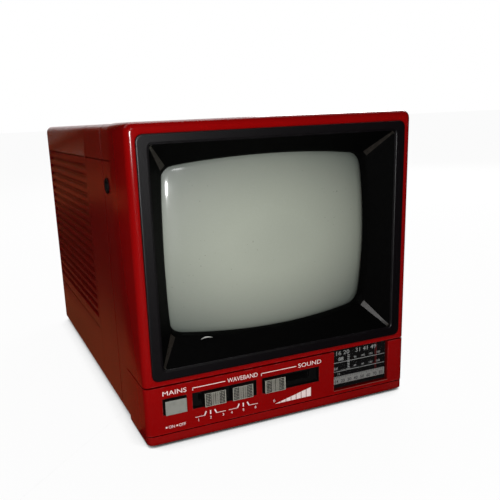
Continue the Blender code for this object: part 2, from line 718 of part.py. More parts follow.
def tube_parts():
    glass = finish("tube glass", GLASS, 0.08)
    tube_face(glass)
    tube_funnel(finish("tube coating", GRAPHITE, 0.6))
    tube_band(finish("tube band steel", STEEL, 0.4, 1.0))
    middle = (0.0, SCREEN_Z)
    add("deflection_yoke", turned(YOKE_PROFILE, "Y", middle, 20), finish("yoke", FERRITE, 0.5))
    add("tube_base", turned(BASE_PROFILE, "Y", middle), finish("tube base", BLACK, 0.5))
    socket = add("tube_socket", turned(SOCKET_PROFILE, "Y", middle), finish("socket", BOARD, 0.6))
    half = SOCKET_BOARD_HALF
    join(socket, boxes(block((-half, half), SOCKET_BOARD_Y, around(SCREEN_Z, half))))
    cut(socket, rod("Y", middle, SOCKET_HOLE, SOCKET_PROFILE[0][1] - OVERCUT, SOCKET_BOARD_Y[1] + OVERCUT))
    cap = add("anode_cap", turned(ANODE_PROFILE, "Z"), finish("cap rubber", BLACK, 0.7))
    cap.location = point(0.0, ANODE_Y, ANODE_Z)
    cap.rotation_euler.x = math.radians(ANODE_TILT)


def tube_curve(name, points, radius, material, cyclic=False):
    """A round cord along points."""
    curve = bpy.data.curves.new(name, "CURVE")
    curve.dimensions = "3D"
    curve.bevel_depth = radius * MM
    curve.bevel_resolution = 2
    curve.use_fill_caps = True
    spline = curve.splines.new("POLY")
    spline.points.add(len(points) - 1)
    for vertex, place_in_set in zip(spline.points, points):
        vertex.co = (*point(*place_in_set), 1.0)
    spline.use_cyclic_u = cyclic
    cord = bpy.data.objects.new(name, curve)
    cord.parent = SET
    bpy.context.scene.collection.objects.link(cord)
    curve.materials.append(material)


def smooth_route(route, count):
    """Points on a smooth curve through a route."""
    ends = [2 * Vector(route[0]) - Vector(route[1]), 2 * Vector(route[-1]) - Vector(route[-2])]
    knots = [ends[0], *map(Vector, route), ends[1]]
    points = []
    for i in range(count + 1):
        whole = min(int(i / count * (len(route) - 1)), len(route) - 2)
        t = i / count * (len(route) - 1) - whole
        before, first, second, after = knots[whole:whole + 4]
        bend = (2 * before - 5 * first + 4 * second - after) * t * t
        bend += (3 * first - before - 3 * second + after) * t ** 3
        points.append(first + ((second - before) * t + bend) / 2)
    return points


def belt_path(pulleys, steps=8):
    """The closed path of a cord round pulleys (x, y, radius) taken anticlockwise."""
    normals = []
    for (x1, y1, r1), (x2, y2, r2) in zip(pulleys, pulleys[1:] + pulleys[:1]):
        run = Vector((x2 - x1, y2 - y1))
        lean = (r1 - r2) / run.length
        run.normalize()
        side = Vector((run.y, -run.x))
        normals.append(run * lean + side * math.sqrt(1 - lean * lean))
    path = []
    for (x, y, radius), arriving, leaving in zip(pulleys, normals[-1:] + normals[:-1], normals):
        start = math.degrees(math.atan2(arriving.y, arriving.x))
        turn = math.degrees(math.atan2(leaving.y, leaving.x)) - start
        path += arc((x, y), radius, start, start + turn % 360.0, steps)
    return path


def front_knob(name, x, wide, high, back, material):
    """A slider's or button's cap with its stem."""
    cap = block(around(x, wide / 2), (-PROUD, back), around(CONTROL_Z, high / 2))
    knob = add(name, boxes(cap), material, (x, 0.0, CONTROL_Z))
    soften(knob, KNOB_BEVEL)
    join(knob, boxes(block(around(x, STEM_HALF), (back - OVERCUT, STEM_END), around(CONTROL_Z, STEM_HALF))))


def slit(x, travel):
    """The span that a stem at x needs for its travel."""
    return (x + travel[0] - STEM_HALF - SLIT_PLAY, x + travel[1] + STEM_HALF + SLIT_PLAY)


def slit_box(span, start, end):
    return block(span, (start, end), around(CONTROL_Z, STEM_HALF + SLIT_PLAY))


def switch_body(name, span, slits, material):
    """A switch behind the panel, with a pocket for each stem."""
    case = block(span, (SWITCH_FRONT, SWITCH_BACK), (SWITCH_LOW, SWITCH_TOP))
    body = add(name, boxes(case), material)
    cut(body, boxes(*[slit_box(s, SWITCH_FRONT - OVERCUT, SWITCH_FRONT + POCKET_DEPTH) for s in slits]))


def front_controls():
    grey = finish("control grey", GREY, 0.45)
    dark = finish("switch bodies", BLACK, 0.6)
    front_knob("band_slider", BAND_X, KNOB_WIDE, KNOB_HIGH, KNOB_BACK, grey)
    front_knob("range_slider", RANGE_X, KNOB_WIDE, KNOB_HIGH, KNOB_BACK, grey)
    front_knob("volume_slider", VOLUME_X, VOLUME_WIDE, KNOB_HIGH, KNOB_BACK, grey)
    front_knob("power_button", POWER_X, *POWER_SIZE, POWER_CAP_BACK, grey)

    power_slit = slit(POWER_X, (0.0, 0.0))
    band_slit = slit(BAND_X, BAND_TRAVEL)
    range_slit = slit(RANGE_X, RANGE_TRAVEL)
    volume_slit = slit(VOLUME_X, VOLUME_TRAVEL)
    backing = add("slot_backing", boxes(BACKING), finish("slot black", BLACK, 0.8))
    slits = (power_slit, band_slit, range_slit, volume_slit)
    cut(backing, boxes(*[slit_box(s, BACKING[0][1] - OVERCUT, BACKING[1][1] + OVERCUT) for s in slits]))
    switch_body("power_switch", around(POWER_X, POWER_SIZE[0] / 2), [power_slit], dark)
    switch_body("selector_switch", SELECTOR_SLOT, [band_slit, range_slit], dark)
    switch_body("volume_control", VOLUME_SLOT, [volume_slit], dark)
    add("control_board", boxes(CONTROL_BOARD), finish("control board", BOARD, 0.6))


def dial():
    lens = block((DIAL_X[0] + FIT, DIAL_X[1] - FIT), LENS_Y, (DIAL_LOW + FIT, PANEL_TOP))
    add("dial_lens", boxes(lens), finish("lens", (0.6, 0.6, 0.6), 0.05))
    plate = add("dial_plate", boxes(block(PLATE_X, PLATE_Y, PLATE_Z)), finish("dial black", BLACK, 0.5))
    through = (PLATE_Y[0] - OVERCUT, PLATE_Y[1] + OVERCUT)
    cut(plate, boxes(block(PLATE_SLIT_X, through, around(CORD_Z, PLATE_SLIT_HALF))))
    red = finish("pointer red", (0.5, 0.02, 0.02), 0.4)
    wide = around(POINTER_X, POINTER_HALF)
    pointer = add("dial_pointer", boxes(block(wide, POINTER_Y, POINTER_Z)), red, (POINTER_X, 0.0, CORD_Z))
    stem = (POINTER_Y[1] - POINTER_HALF, RUN_Y - CORD_RADIUS - CORD_GAP)
    join(pointer, boxes(block(wide, stem, around(CORD_Z, POINTER_HALF))))


def tuning_drive():
    steel = finish("bracket steel", STEEL, 0.4, 1.0)
    plastic = finish("drive plastic", GREY, 0.5)
    idler_line = IDLER_RADIUS + CORD_RADIUS + CORD_GAP
    drum_line = DRUM_RADIUS + CORD_RADIUS + CORD_GAP
    idler_y = RUN_Y + idler_line
    pulleys = [(x, idler_y, idler_line) for x in IDLER_X]
    pulleys.append((WHEEL_X, WHEEL_Y, drum_line))
    path = [(x, y, CORD_Z) for x, y in belt_path(pulleys)]
    tube_curve("dial_cord", path, CORD_RADIUS, finish("cord", (0.5, 0.45, 0.35), 0.8), cyclic=True)

    bottom, groove_low, groove_high, top = SPOOL_Z
    bore, flange, floor = IDLER_BORE, IDLER_FLANGE, IDLER_RADIUS
    spool = ((bore, bottom), (flange, bottom), (flange, groove_low), (floor, groove_low))
    spool += ((floor, groove_high), (flange, groove_high), (flange, top), (bore, top))
    for name, x in zip(("idler_left", "idler_right"), IDLER_X):
        add(name, turned(spool, "Z", (x, idler_y)), plastic, (x, idler_y, CORD_Z))
    bracket = add("dial_bracket", boxes(BRACKET_PLATE), steel)
    join(bracket, boxes(BRACKET_FOOT))
    pin_z = (BRACKET_PLATE[1][2] - OVERCUT, top)
    join(bracket, joined(*[rod("Z", (x, idler_y), IDLER_PIN, *pin_z) for x in IDLER_X]))

    bore = SHAFT_RADIUS + FIT
    rim = WHEEL_RADIUS - WHEEL_EDGE
    low, high = WHEEL_Z
    drum = ((bore, bottom), (DRUM_FLANGE, bottom), (DRUM_FLANGE, groove_low), (DRUM_RADIUS, groove_low))
    drum += ((DRUM_RADIUS, groove_high), (DRUM_FLANGE, groove_high), (DRUM_FLANGE, low), (rim, low))
    wheel = ((WHEEL_RADIUS, low + WHEEL_EDGE), (WHEEL_RADIUS, high - WHEEL_EDGE), (rim, high), (bore, high))
    centre = (WHEEL_X, WHEEL_Y)
    pivot = (WHEEL_X, WHEEL_Y, CORD_Z)
    add("tuning_wheel", turned(drum + wheel, "Z", centre, 32), finish("wheel black", BLACK, 0.5), pivot)
    add("tuning_shaft", rod("Z", centre, SHAFT_RADIUS, *SHAFT_Z), steel, pivot)
    capacitor = add("tuning_capacitor", boxes(CAPACITOR), finish("capacitor case", GREY, 0.5))
    cut(capacitor, rod("Z", centre, bore, CAPACITOR_POCKET, CAPACITOR[1][2] + OVERCUT))


def electronics():
    tin = finish("tin plate", STEEL, 0.35, 1.0)
    add("main_board", boxes(MAIN_BOARD), finish("main board", BOARD, 0.6))
    flyback = add("flyback_transformer", boxes(FLYBACK_BASE), finish("flyback", FERRITE, 0.5))
    x, y, radius = FLYBACK_COIL
    join(flyback, rod("Z", (x, y), radius, FLYBACK_BASE[1][2] - OVERCUT, FLYBACK_TOP, 20))
    tuner = add("tuner_module", boxes(TUNER), tin)
    (x0, y0, _), (x1, y1, top) = TUNER
    lid_z = (top - TUNER_LID_DROP, top + TUNER_LID)
    join(tuner, boxes(block((x0 - TUNER_LID, x1 + TUNER_LID), (y0 - TUNER_LID, y1 + TUNER_LID), lid_z)))
    heat_sink(finish("heat sink", (0.6, 0.6, 0.6), 0.4, 1.0))
    x, y, radius = FILTER_CAP
    sleeve = finish("capacitor sleeve", (0.02, 0.05, 0.16), 0.4)
    add("filter_capacitor", rod("Z", (x, y), radius, *FILTER_CAP_Z), sleeve)
    ferrite = finish("ferrite", FERRITE, 0.5)
    add("ferrite_rod", rod("X", (ROD_Y, ROD_Z), ROD_RADIUS, -ROD_HALF - FIT, ROD_HALF + FIT), ferrite)
    spot = (SPEAKER_Y, SPEAKER_Z)
    add("speaker_basket", turned(BASKET_PROFILE, "X", spot, 24), finish("basket", STEEL, 0.5, 1.0))
    add("speaker_cone", turned(CONE_PROFILE, "X", spot, 24), finish("cone paper", (0.03, 0.028, 0.025), 0.9))
    lead = finish("lead red", (0.35, 0.02, 0.02), 0.5)
    tube_curve("anode_lead", smooth_route(LEAD_ROUTE, LEAD_POINTS), LEAD_RADIUS, lead)


def heat_sink(material):
    """A plate with upright fins, seen from above as a comb."""
    (x0, y0, z0), (x1, y1, z1) = HEAT_SINK
    back = y1 - FIN_THICK
    step = (x1 - x0 - FIN_THICK) / (FIN_COUNT - 1)
    outline = [(x1, y1), (x0, y1)]
    for i in range(FIN_COUNT):
        left = x0 + i * step
        outline += [(left, back), (left, y0), (left + FIN_THICK, y0), (left + FIN_THICK, back)]
    add("heat_sink", slab(outline, "Z", z0, z1), material)


def sockets():
    dark = finish("socket black", BLACK, 0.5)
    jack = add("earphone_jack", boxes(JACK_BODY), dark)
    join(jack, rod("X", (JACK_Y, JACK_Z), JACK_BUSH, JACK_NOSE, JACK_BODY[0][0] + OVERCUT))
    cut(jack, rod("X", (JACK_Y, JACK_Z), JACK_BORE, JACK_NOSE - OVERCUT, JACK_BORE_END))
    case = block(around(INLET_X, INLET_HALF), INLET_Y, around(INLET_Z, INLET_HALF))
    inlet = add("dc_jack", boxes(case), dark)
    cut(inlet, rod("Y", (INLET_X, INLET_Z), INLET_BORE, INLET_Y[0] + 2 * OVERCUT, INLET_Y[1] + OVERCUT))
    join(inlet, turned(INLET_PROFILE, "Y", (INLET_X, INLET_Z)))


def rear_knobs():
    knob_black = finish("rear knobs", BLACK, 0.5)
    pot_grey = finish("pot cases", STEEL, 0.45, 1.0)
    for name, x in REAR_KNOBS:
        spot = (x, REAR_KNOB_Z)
        add(f"{name}_knob", turned(KNOB_PROFILE, "Y", spot, 20), knob_black, (x, DEPTH, REAR_KNOB_Z))
        add(f"{name}_pot", turned(POT_PROFILE, "Y", spot), pot_grey)


def antenna():
    chrome = finish("antenna chrome", (0.8, 0.8, 0.8), 0.12, 1.0)
    dark = finish("antenna mount", BLACK, 0.5)
    spot = (MAST_X, MAST_Z)
    bracket = add("antenna_bracket", boxes(MAST_BRACKET), dark)
    join(bracket, rod("Y", spot, MAST_PIN, MAST_BRACKET[1][1] - OVERCUT, MAST_PIN_END))
    pivot = (MAST_X, MAST_Y, MAST_Z)
    hole = MAST_PIN + FIT
    front, back = SWIVEL_Y
    disc = ((hole, front), (SWIVEL_RADIUS, front), (SWIVEL_RADIUS, back), (hole, back))
    swivel = add("antenna_swivel", turned(disc, "Y", spot, 24), dark, pivot)
    cheek_y = (back - OVERCUT, CHEEK_END)
    heights = [[MAST_Z + side * z for z in CHEEK_Z] for side in (-1, 1)]
    join(swivel, boxes(*[block(around(MAST_X, CHEEK_HALF), cheek_y, zs) for zs in heights]))
    hinge = (MAST_X, MAST_Y)
    join(swivel, rod("Z", hinge, HINGE_PIN, *around(MAST_Z, CHEEK_Z[0] + OVERCUT)))

    radius, bore, near, far = MAST_TUBES[0]
    line = (MAST_Y, MAST_Z)
    sleeve = ((0.0, MAST_X), (radius, MAST_X), (radius, far), (bore, far), (bore, near), (0.0, near))
    outer = add("antenna_tube_1", turned(sleeve, "X", line), chrome, pivot)
    knuckle = CHEEK_Z[0] - FIT
    join(outer, rod("Z", hinge, radius, *around(MAST_Z, knuckle)))
    cut(outer, rod("Z", hinge, HINGE_PIN + FIT, *around(MAST_Z, knuckle + OVERCUT)))
    for number, (radius, bore, near, far) in enumerate(MAST_TUBES[1:], 2):
        ring = ((bore, near), (radius, near), (radius, far), (bore, far))
        add(f"antenna_tube_{number}", turned(ring, "X", line), chrome, pivot)
    add("antenna_tip", turned(TIP_PROFILE, "X", line), chrome, pivot)


def fasteners_and_feet():
    steel = finish("screw steel", STEEL, 0.4, 1.0)
    rubber = finish("foot rubber", BLACK, 0.9)
    for side, hand, spot in zip((-1, 1), ("left", "right"), cover_screw_spots()):
        add(f"cover_screw_{hand}", turned(SCREW_PROFILE, "Y", spot), steel)
        for y, end in zip(FOOT_Y, ("front", "rear")):
            add(f"foot_{end}_{hand}", turned(FOOT_PROFILE, "Z", (side * FOOT_X, y), 20), rubber)


def main():
    red = finish("cabinet red", RED, 0.3)
    front_frame(red)
    control_panel(finish("panel red", RED, 0.3))
    mid_cabinet(finish("middle red", RED, 0.32))
    rear_cover(finish("cover red", RED, 0.35))
    screen_mask(finish("mask black", BLACK, 0.4))
    tube_parts()
    front_controls()
    dial()
    tuning_drive()
    electronics()
    sockets()
    rear_knobs()
    antenna()
    fasteners_and_feet()


main()
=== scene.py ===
import math

import bmesh
import bpy
from mathutils import Matrix, Vector
from mathutils.bvhtree import BVHTree

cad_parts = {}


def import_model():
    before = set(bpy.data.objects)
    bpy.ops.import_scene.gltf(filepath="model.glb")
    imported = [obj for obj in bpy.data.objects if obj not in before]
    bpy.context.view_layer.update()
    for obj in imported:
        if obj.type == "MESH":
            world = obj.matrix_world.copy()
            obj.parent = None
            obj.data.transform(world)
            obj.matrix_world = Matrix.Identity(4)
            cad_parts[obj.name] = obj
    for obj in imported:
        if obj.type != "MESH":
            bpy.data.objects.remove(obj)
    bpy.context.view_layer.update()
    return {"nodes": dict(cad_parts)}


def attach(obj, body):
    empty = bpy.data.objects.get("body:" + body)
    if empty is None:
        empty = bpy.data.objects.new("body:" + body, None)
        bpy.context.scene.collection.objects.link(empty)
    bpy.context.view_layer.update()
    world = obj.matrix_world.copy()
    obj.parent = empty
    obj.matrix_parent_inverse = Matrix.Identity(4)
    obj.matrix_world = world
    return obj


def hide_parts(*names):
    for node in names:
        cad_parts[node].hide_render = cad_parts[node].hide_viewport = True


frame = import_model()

# Millimetres in the set's own coordinates: x right, y back from the front face, z up
MM = 0.001
MIDDLE_X = 1.5
MIDDLE_Y = 120.0

# Front
FRONT_Y = 0.0
CONTROL_Z = 19.8
KNOB_FRONT = -2.2
KNOB_BACK = 2.3
KNOB_HIGH = 7.0
POWER_X = -58.6
POWER_SIZE = (10.5, 7.0)
POWER_BACK = 0.5
SLIDERS = (("band_slider", -38.8, 11.0), ("range_slider", -24.3, 11.0), ("volume_slider", -6.6, 11.5))
STEM_HALF = 1.5
STEM_END = 9.5
SCREEN_Z = 89.25

# Tuning wheel and rear knobs
WHEEL_X = 56.0
WHEEL_Y = 63.0
REAR_KNOBS = (("brightness", -45.0), ("contrast", -20.0), ("hold", 5.0))
REAR_KNOB_Z = 62.0

# Antenna
MAST_X = 50.0
MAST_Y = 239.0
MAST_Z = 134.0


def spot(x, y, z):
    """A point of the set in the row's frame."""
    return Vector(((x - MIDDLE_X) * MM, (y - MIDDLE_Y) * MM, z * MM))


# Shaders


class Finish:
    """A Principled material with short ways to add procedural detail to it."""

    def __init__(self, name, colour, roughness, metallic=0.0, specular=0.5):
        self.material = bpy.data.materials.new(name)
        self.material.use_nodes = True
        self.tree = self.material.node_tree
        self.shader = self.tree.nodes["Principled BSDF"]
        self.set("Base Color", (*colour, 1.0))
        self.set("Roughness", roughness)
        self.set("Metallic", metallic)
        self.set("Specular IOR Level", specular)
        self.colour = (*colour, 1.0)
        self.normal = None
        self.coordinates = self.tree.nodes.new("ShaderNodeTexCoord").outputs["Object"]

    def set(self, socket, value):
        self.shader.inputs[socket].default_value = value

    def join(self, value, socket):
        """Links a socket to an input, or sets a plain value on it."""
        if hasattr(value, "links"):
            self.tree.links.new(value, socket)
        else:
            socket.default_value = value

    def math(self, operation, a, b=0.0):
        node = self.tree.nodes.new("ShaderNodeMath")
        node.operation = operation
        self.join(a, node.inputs[0])
        self.join(b, node.inputs[1])
        return node.outputs[0]

    def noise(self, size, detail=2.0, stretch=(1.0, 1.0, 1.0), offset=0.0):
        """Noise whose features are about size millimetres across, drawn out along stretched axes."""
        mapping = self.tree.nodes.new("ShaderNodeMapping")
        mapping.inputs["Location"].default_value = (offset, offset, offset)
        mapping.inputs["Scale"].default_value = [1.0 / (size * MM * s) for s in stretch]
        self.join(self.coordinates, mapping.inputs["Vector"])
        noise = self.tree.nodes.new("ShaderNodeTexNoise")
        noise.inputs["Scale"].default_value = 1.0
        noise.inputs["Detail"].default_value = detail
        self.join(mapping.outputs[0], noise.inputs["Vector"])
        return noise.outputs["Fac"]

    def remap(self, value, low, high, to_low=0.0, to_high=1.0):
        node = self.tree.nodes.new("ShaderNodeMapRange")
        for socket, number in zip(node.inputs[1:5], (low, high, to_low, to_high)):
            socket.default_value = number
        self.join(value, node.inputs["Value"])
        return node.outputs[0]

    def edges(self, radius):
        """A mask that is 1 on sharp edges and 0 away from them."""
        bevel = self.tree.nodes.new("ShaderNodeBevel")
        bevel.samples = 4
        bevel.inputs["Radius"].default_value = radius * MM
        geometry = self.tree.nodes.new("ShaderNodeNewGeometry")
        dot = self.tree.nodes.new("ShaderNodeVectorMath")
        dot.operation = "DOT_PRODUCT"
        self.join(bevel.outputs[0], dot.inputs[0])
        self.join(geometry.outputs["Normal"], dot.inputs[1])
        return self.remap(dot.outputs["Value"], 0.995, 0.85)

    def crevices(self, reach, open_level=0.75, deep_level=0.25):
        """A mask that is 1 deep in seams and grooves and 0 in the open."""
        shade = self.tree.nodes.new("ShaderNodeAmbientOcclusion")
        shade.samples = 6
        shade.inputs["Distance"].default_value = reach * MM
        return self.remap(shade.outputs["AO"], open_level, deep_level)

    def tint(self, mask, colour):
        """Turns the base colour towards another where the mask is high."""
        mix = self.tree.nodes.new("ShaderNodeMix")
        mix.data_type = "RGBA"
        self.join(mask, mix.inputs["Factor"])
        self.join(self.colour, mix.inputs["A"])
        mix.inputs["B"].default_value = (*colour, 1.0)
        self.colour = mix.outputs["Result"]
        self.join(self.colour, self.shader.inputs["Base Color"])

    def rough(self, mask, low, high):
        self.join(self.remap(mask, 0.0, 1.0, low, high), self.shader.inputs["Roughness"])

    def bump(self, height, depth):
        """Raises the surface by up to depth millimetres where height is 1."""
        node = self.tree.nodes.new("ShaderNodeBump")
        node.inputs["Distance"].default_value = depth * MM
        self.join(height, node.inputs["Height"])
        if self.normal:
            self.join(self.normal, node.inputs["Normal"])
        self.normal = node.outputs[0]
        self.join(self.normal, self.shader.inputs["Normal"])


def red_plastic(name, colour, low, high, worn, groove_shade_level, reach, gloss):
    """Glossy moulded plastic with mottling and hairline scuffs. Its paler edges are partly rubbed wear and
    partly painted highlight, and painted shade darkens its grooves and seams, which are also made matt.
    """
    f = Finish(name, colour, low)
    f.tint(f.remap(f.noise(45.0, 3.0), 0.42, 0.75, 0.0, 0.35), [c * 0.72 for c in colour])
    scuffs = f.remap(f.noise(0.5, 2.0, (1.0, 1.0, 26.0)), 0.72, 0.80, 0.0, 0.22)
    patches = f.remap(f.noise(30.0, 2.0, offset=7.0), 0.55, 0.70)
    f.tint(f.math("MULTIPLY", scuffs, patches), (0.40, 0.05, 0.05))
    # Paler edges: partly rubbed wear, partly a painted highlight along sharp edges.
    wear_and_edge_sheen = f.math("MULTIPLY", f.edges(0.8), f.remap(f.noise(4.0, 4.0, offset=3.0), 0.48, 0.68, 0.0, worn))
    f.tint(wear_and_edge_sheen, (0.44, 0.09, 0.09))
    # Painted shade: an ambient-occlusion mask darkens the colour deep in grooves and seams, and lowers the
    # gloss there.
    shade_in_grooves = f.crevices(reach, 0.95, 0.5)
    f.tint(shade_in_grooves, [c * groove_shade_level for c in colour])
    f.join(f.remap(shade_in_grooves, 0.0, 0.7, gloss, 0.02), f.shader.inputs["Specular IOR Level"])
    f.rough(f.noise(14.0, 4.0), low, high)
    f.bump(f.noise(0.7, 2.0), 0.006)
    f.bump(f.noise(9.0, 2.0), 0.02)
    return f.material


def grained_black(name, colour, low, high, grain, depth, specular=0.5):
    """Black plastic with a spark-eroded grain. Its paler edges are partly worn smooth and partly painted
    highlight.
    """
    f = Finish(name, colour, low, specular=specular)
    f.tint(f.remap(f.noise(grain * 3, 3.0), 0.45, 0.75, 0.0, 0.6), [c * 2.0 + 0.0004 for c in colour])
    # Paler edges: partly wear, partly a painted highlight on ridges and rim edges.
    f.tint(f.math("MULTIPLY", f.edges(0.5), f.remap(f.noise(3.0), 0.5, 0.7, 0.0, 0.5)), (0.03, 0.03, 0.033))
    f.rough(f.noise(grain * 2, 3.0), low, high)
    f.bump(f.noise(grain, 3.0), depth)
    return f.material


def phosphor_glass():
    """The tube's face: grey-green phosphor behind polished glass, with painted shade darkening it towards
    its edges.
    """
    f = Finish("tube_face_glass", (0.345, 0.37, 0.305), 0.55, specular=0.8)
    f.tint(f.remap(f.noise(60.0), 0.35, 0.7, 0.0, 0.5), (0.31, 0.34, 0.28))
    f.tint(f.remap(f.noise(0.9, 4.0), 0.5, 0.8, 0.0, 0.35), (0.375, 0.395, 0.34))
    # Painted shade: the face darkens towards its edges, away from the screen's middle.
    place = f.tree.nodes.new("ShaderNodeSeparateXYZ")
    f.join(f.coordinates, place.inputs[0])
    middle = spot(0.0, 0.0, SCREEN_Z)
    reach_x, reach_z = 75.0 * MM, 46.0 * MM
    across = f.math("POWER", f.math("DIVIDE", f.math("SUBTRACT", place.outputs[0], middle.x), reach_x), 2.0)
    upright = f.math("POWER", f.math("DIVIDE", f.math("SUBTRACT", place.outputs[2], middle.z), reach_z), 2.0)
    f.tint(f.remap(f.math("ADD", across, upright), 0.1, 1.15, 0.0, 0.9), (0.092, 0.108, 0.096))
    specks = f.remap(f.noise(1.1, 1.0, offset=11.0), 0.755, 0.79)
    clusters = f.remap(f.noise(26.0, 1.0, offset=4.0), 0.5, 0.6, 0.0, 0.8)
    f.tint(f.math("MULTIPLY", specks, clusters), (0.05, 0.055, 0.05))
    f.rough(f.noise(5.0, 3.0), 0.45, 0.62)
    f.set("Coat Weight", 1.0)
    f.set("Coat Roughness", 0.11)
    f.bump(f.noise(1.2, 2.0), 0.004)
    return f.material


def control_grey(name, colour):
    """Pale grey control plastic with grime and a fine moulded texture."""
    f = Finish(name, colour, 0.5)
    f.tint(f.remap(f.noise(2.2, 4.0), 0.45, 0.75, 0.0, 0.5), [c * 0.7 for c in colour])
    f.tint(f.math("MULTIPLY", f.edges(0.3), f.remap(f.noise(1.5), 0.4, 0.6, 0.0, 0.4)), (0.45, 0.44, 0.40))
    f.rough(f.noise(1.0, 3.0), 0.42, 0.62)
    f.bump(f.noise(0.25, 3.0), 0.02)
    return f.material


def print_ink(name, colour, worn):
    """Screen-printed ink, thin and chipped in places."""
    f = Finish(name, colour, 0.6)
    f.tint(f.remap(f.noise(0.8, 4.0), 0.55, 0.75, 0.0, worn), [c * 0.5 for c in colour])
    f.rough(f.noise(1.0), 0.5, 0.7)
    f.bump(f.noise(0.4, 3.0), 0.01)
    return f.material


def clear_lens():
    """A thin clear window with light scuffs."""
    f = Finish("dial_window", (0.02, 0.02, 0.02), 0.06)
    f.join(f.remap(f.noise(0.6, 3.0, (14.0, 1.0, 1.0)), 0.62, 0.8, 0.10, 0.22), f.shader.inputs["Alpha"])
    f.rough(f.noise(6.0, 3.0), 0.04, 0.14)
    f.bump(f.noise(5.0), 0.01)
    return f.material


def metal(name, colour, low, high, grain, stretch=(1.0, 1.0, 1.0)):
    """Plated or bare metal with drawn grain, smudges and tarnish."""
    f = Finish(name, colour, low, 1.0)
    f.tint(f.remap(f.noise(11.0, 4.0), 0.5, 0.8, 0.0, 0.5), [c * 0.62 for c in colour])
    f.rough(f.noise(grain * 6, 3.0, stretch), low, high)
    f.bump(f.noise(grain, 2.0, stretch), 0.008)
    return f.material


def plain_part(name, colour, low, high, grain, depth=0.02):
    """Moulded, pressed or painted inner parts with mottling and grain."""
    f = Finish(name, colour, low)
    f.tint(f.remap(f.noise(grain * 9, 3.0), 0.42, 0.72, 0.0, 0.55), [c * 0.65 for c in colour])
    f.tint(f.remap(f.noise(grain * 2, 2.0, offset=5.0), 0.6, 0.8, 0.0, 0.3), [c * 1.4 for c in colour])
    f.rough(f.noise(grain * 4, 3.0), low, high)
    f.bump(f.noise(grain, 3.0), depth)
    return f.material


RED = (0.228, 0.0012, 0.0014)
DARK_RED = (0.235, 0.0012, 0.0012)
BLACK = (0.010, 0.010, 0.011)

# In both reds, worn sets how strongly the paler edges show (partly wear, partly painted highlight). The
# level after it sets how dark painted shade makes grooves and seams.
FRONT_RED = red_plastic(
    "front_red", RED, low=0.15, high=0.22, worn=0.45, groove_shade_level=0.35, reach=1.6, gloss=0.26,
)
SHELL_RED = red_plastic(
    "shell_red", DARK_RED, low=0.2, high=0.3, worn=0.15, groove_shade_level=0.06, reach=3.2, gloss=0.5,
)
RIM_BLACK = grained_black("rim_black", (0.0012, 0.0008, 0.0016), 0.38, 0.48, 0.45, 0.06, 0.62)
SLOPE_BLACK = grained_black("slope_black", (0.0006, 0.0006, 0.0006), 0.6, 0.75, 0.6, 0.006, 0.06)
# The corner strips get a paler, brownish copy of the mask's black: a painted highlight where they catch
# light.
STRIP_BLACK = grained_black("strip_black", (0.014, 0.012, 0.010), 0.24, 0.34, 0.6, 0.006, 0.4)
TRIM_BLACK = grained_black("trim_black", BLACK, 0.4, 0.6, 0.3, 0.02)
SLOT_BLACK = grained_black("slot_black", (0.0015, 0.0015, 0.0015), 0.6, 0.8, 0.4, 0.02, 0.2)
PHOSPHOR = phosphor_glass()
GREY = control_grey("control_grey_caps", (0.30, 0.29, 0.245))
BUTTON_GREY = control_grey("button_grey", (0.225, 0.23, 0.205))
PANEL_INK = print_ink("panel_ink", (0.80, 0.66, 0.64), 0.35)
DIAL_INK = print_ink("dial_ink", (0.40, 0.41, 0.40), 0.6)
BAND_INK = print_ink("band_ink", (0.30, 0.30, 0.285), 0.4)
DARK_INK = print_ink("dark_ink", (0.02, 0.02, 0.02), 0.3)
# Pale brown for the strip under the dial window: a painted highlight.
SILL_SHEEN = plain_part("painted_sill_highlight", (0.20, 0.075, 0.055), 0.4, 0.6, 0.6, 0.01)
SCRATCH_INK = print_ink("scratch_white", (0.42, 0.42, 0.40), 0.7)
LENS = clear_lens()
POINTER_RED = plain_part("pointer_paint", (0.09, 0.004, 0.004), 0.35, 0.5, 0.5, 0.01)
CHROME = metal("antenna_plating", (0.80, 0.80, 0.80), 0.06, 0.2, 0.3, (30.0, 1.0, 1.0))
STEEL = metal("zinc_plate", (0.52, 0.52, 0.50), 0.25, 0.45, 0.4)
TIN = metal("tin_plate_can", (0.50, 0.50, 0.48), 0.3, 0.5, 0.6)
ALUMINIUM = metal("sink_metal", (0.58, 0.58, 0.58), 0.3, 0.5, 0.3, (1.0, 1.0, 20.0))
BOARD = plain_part("board_resin", (0.19, 0.10, 0.04), 0.5, 0.75, 0.8)
FERRITE = plain_part("ferrite_core", (0.05, 0.045, 0.045), 0.4, 0.7, 0.4)
COATING = plain_part("graphite_coating", (0.03, 0.03, 0.033), 0.5, 0.8, 0.5)
SLEEVE = plain_part("blue_sleeve", (0.02, 0.05, 0.16), 0.3, 0.45, 0.8)
PAPER = plain_part("cone_paper_black", (0.025, 0.023, 0.021), 0.85, 1.0, 0.3)
RUBBER = plain_part("foot_rubber", (0.014, 0.014, 0.014), 0.7, 0.95, 0.4)
LEAD = plain_part("lead_insulation", (0.30, 0.02, 0.02), 0.4, 0.6, 0.6)
CORD = plain_part("waxed_cord", (0.45, 0.40, 0.30), 0.7, 0.9, 0.2)
DRIVE = plain_part("drive_plastic_grey", (0.30, 0.29, 0.26), 0.45, 0.65, 0.4)


# Pieces


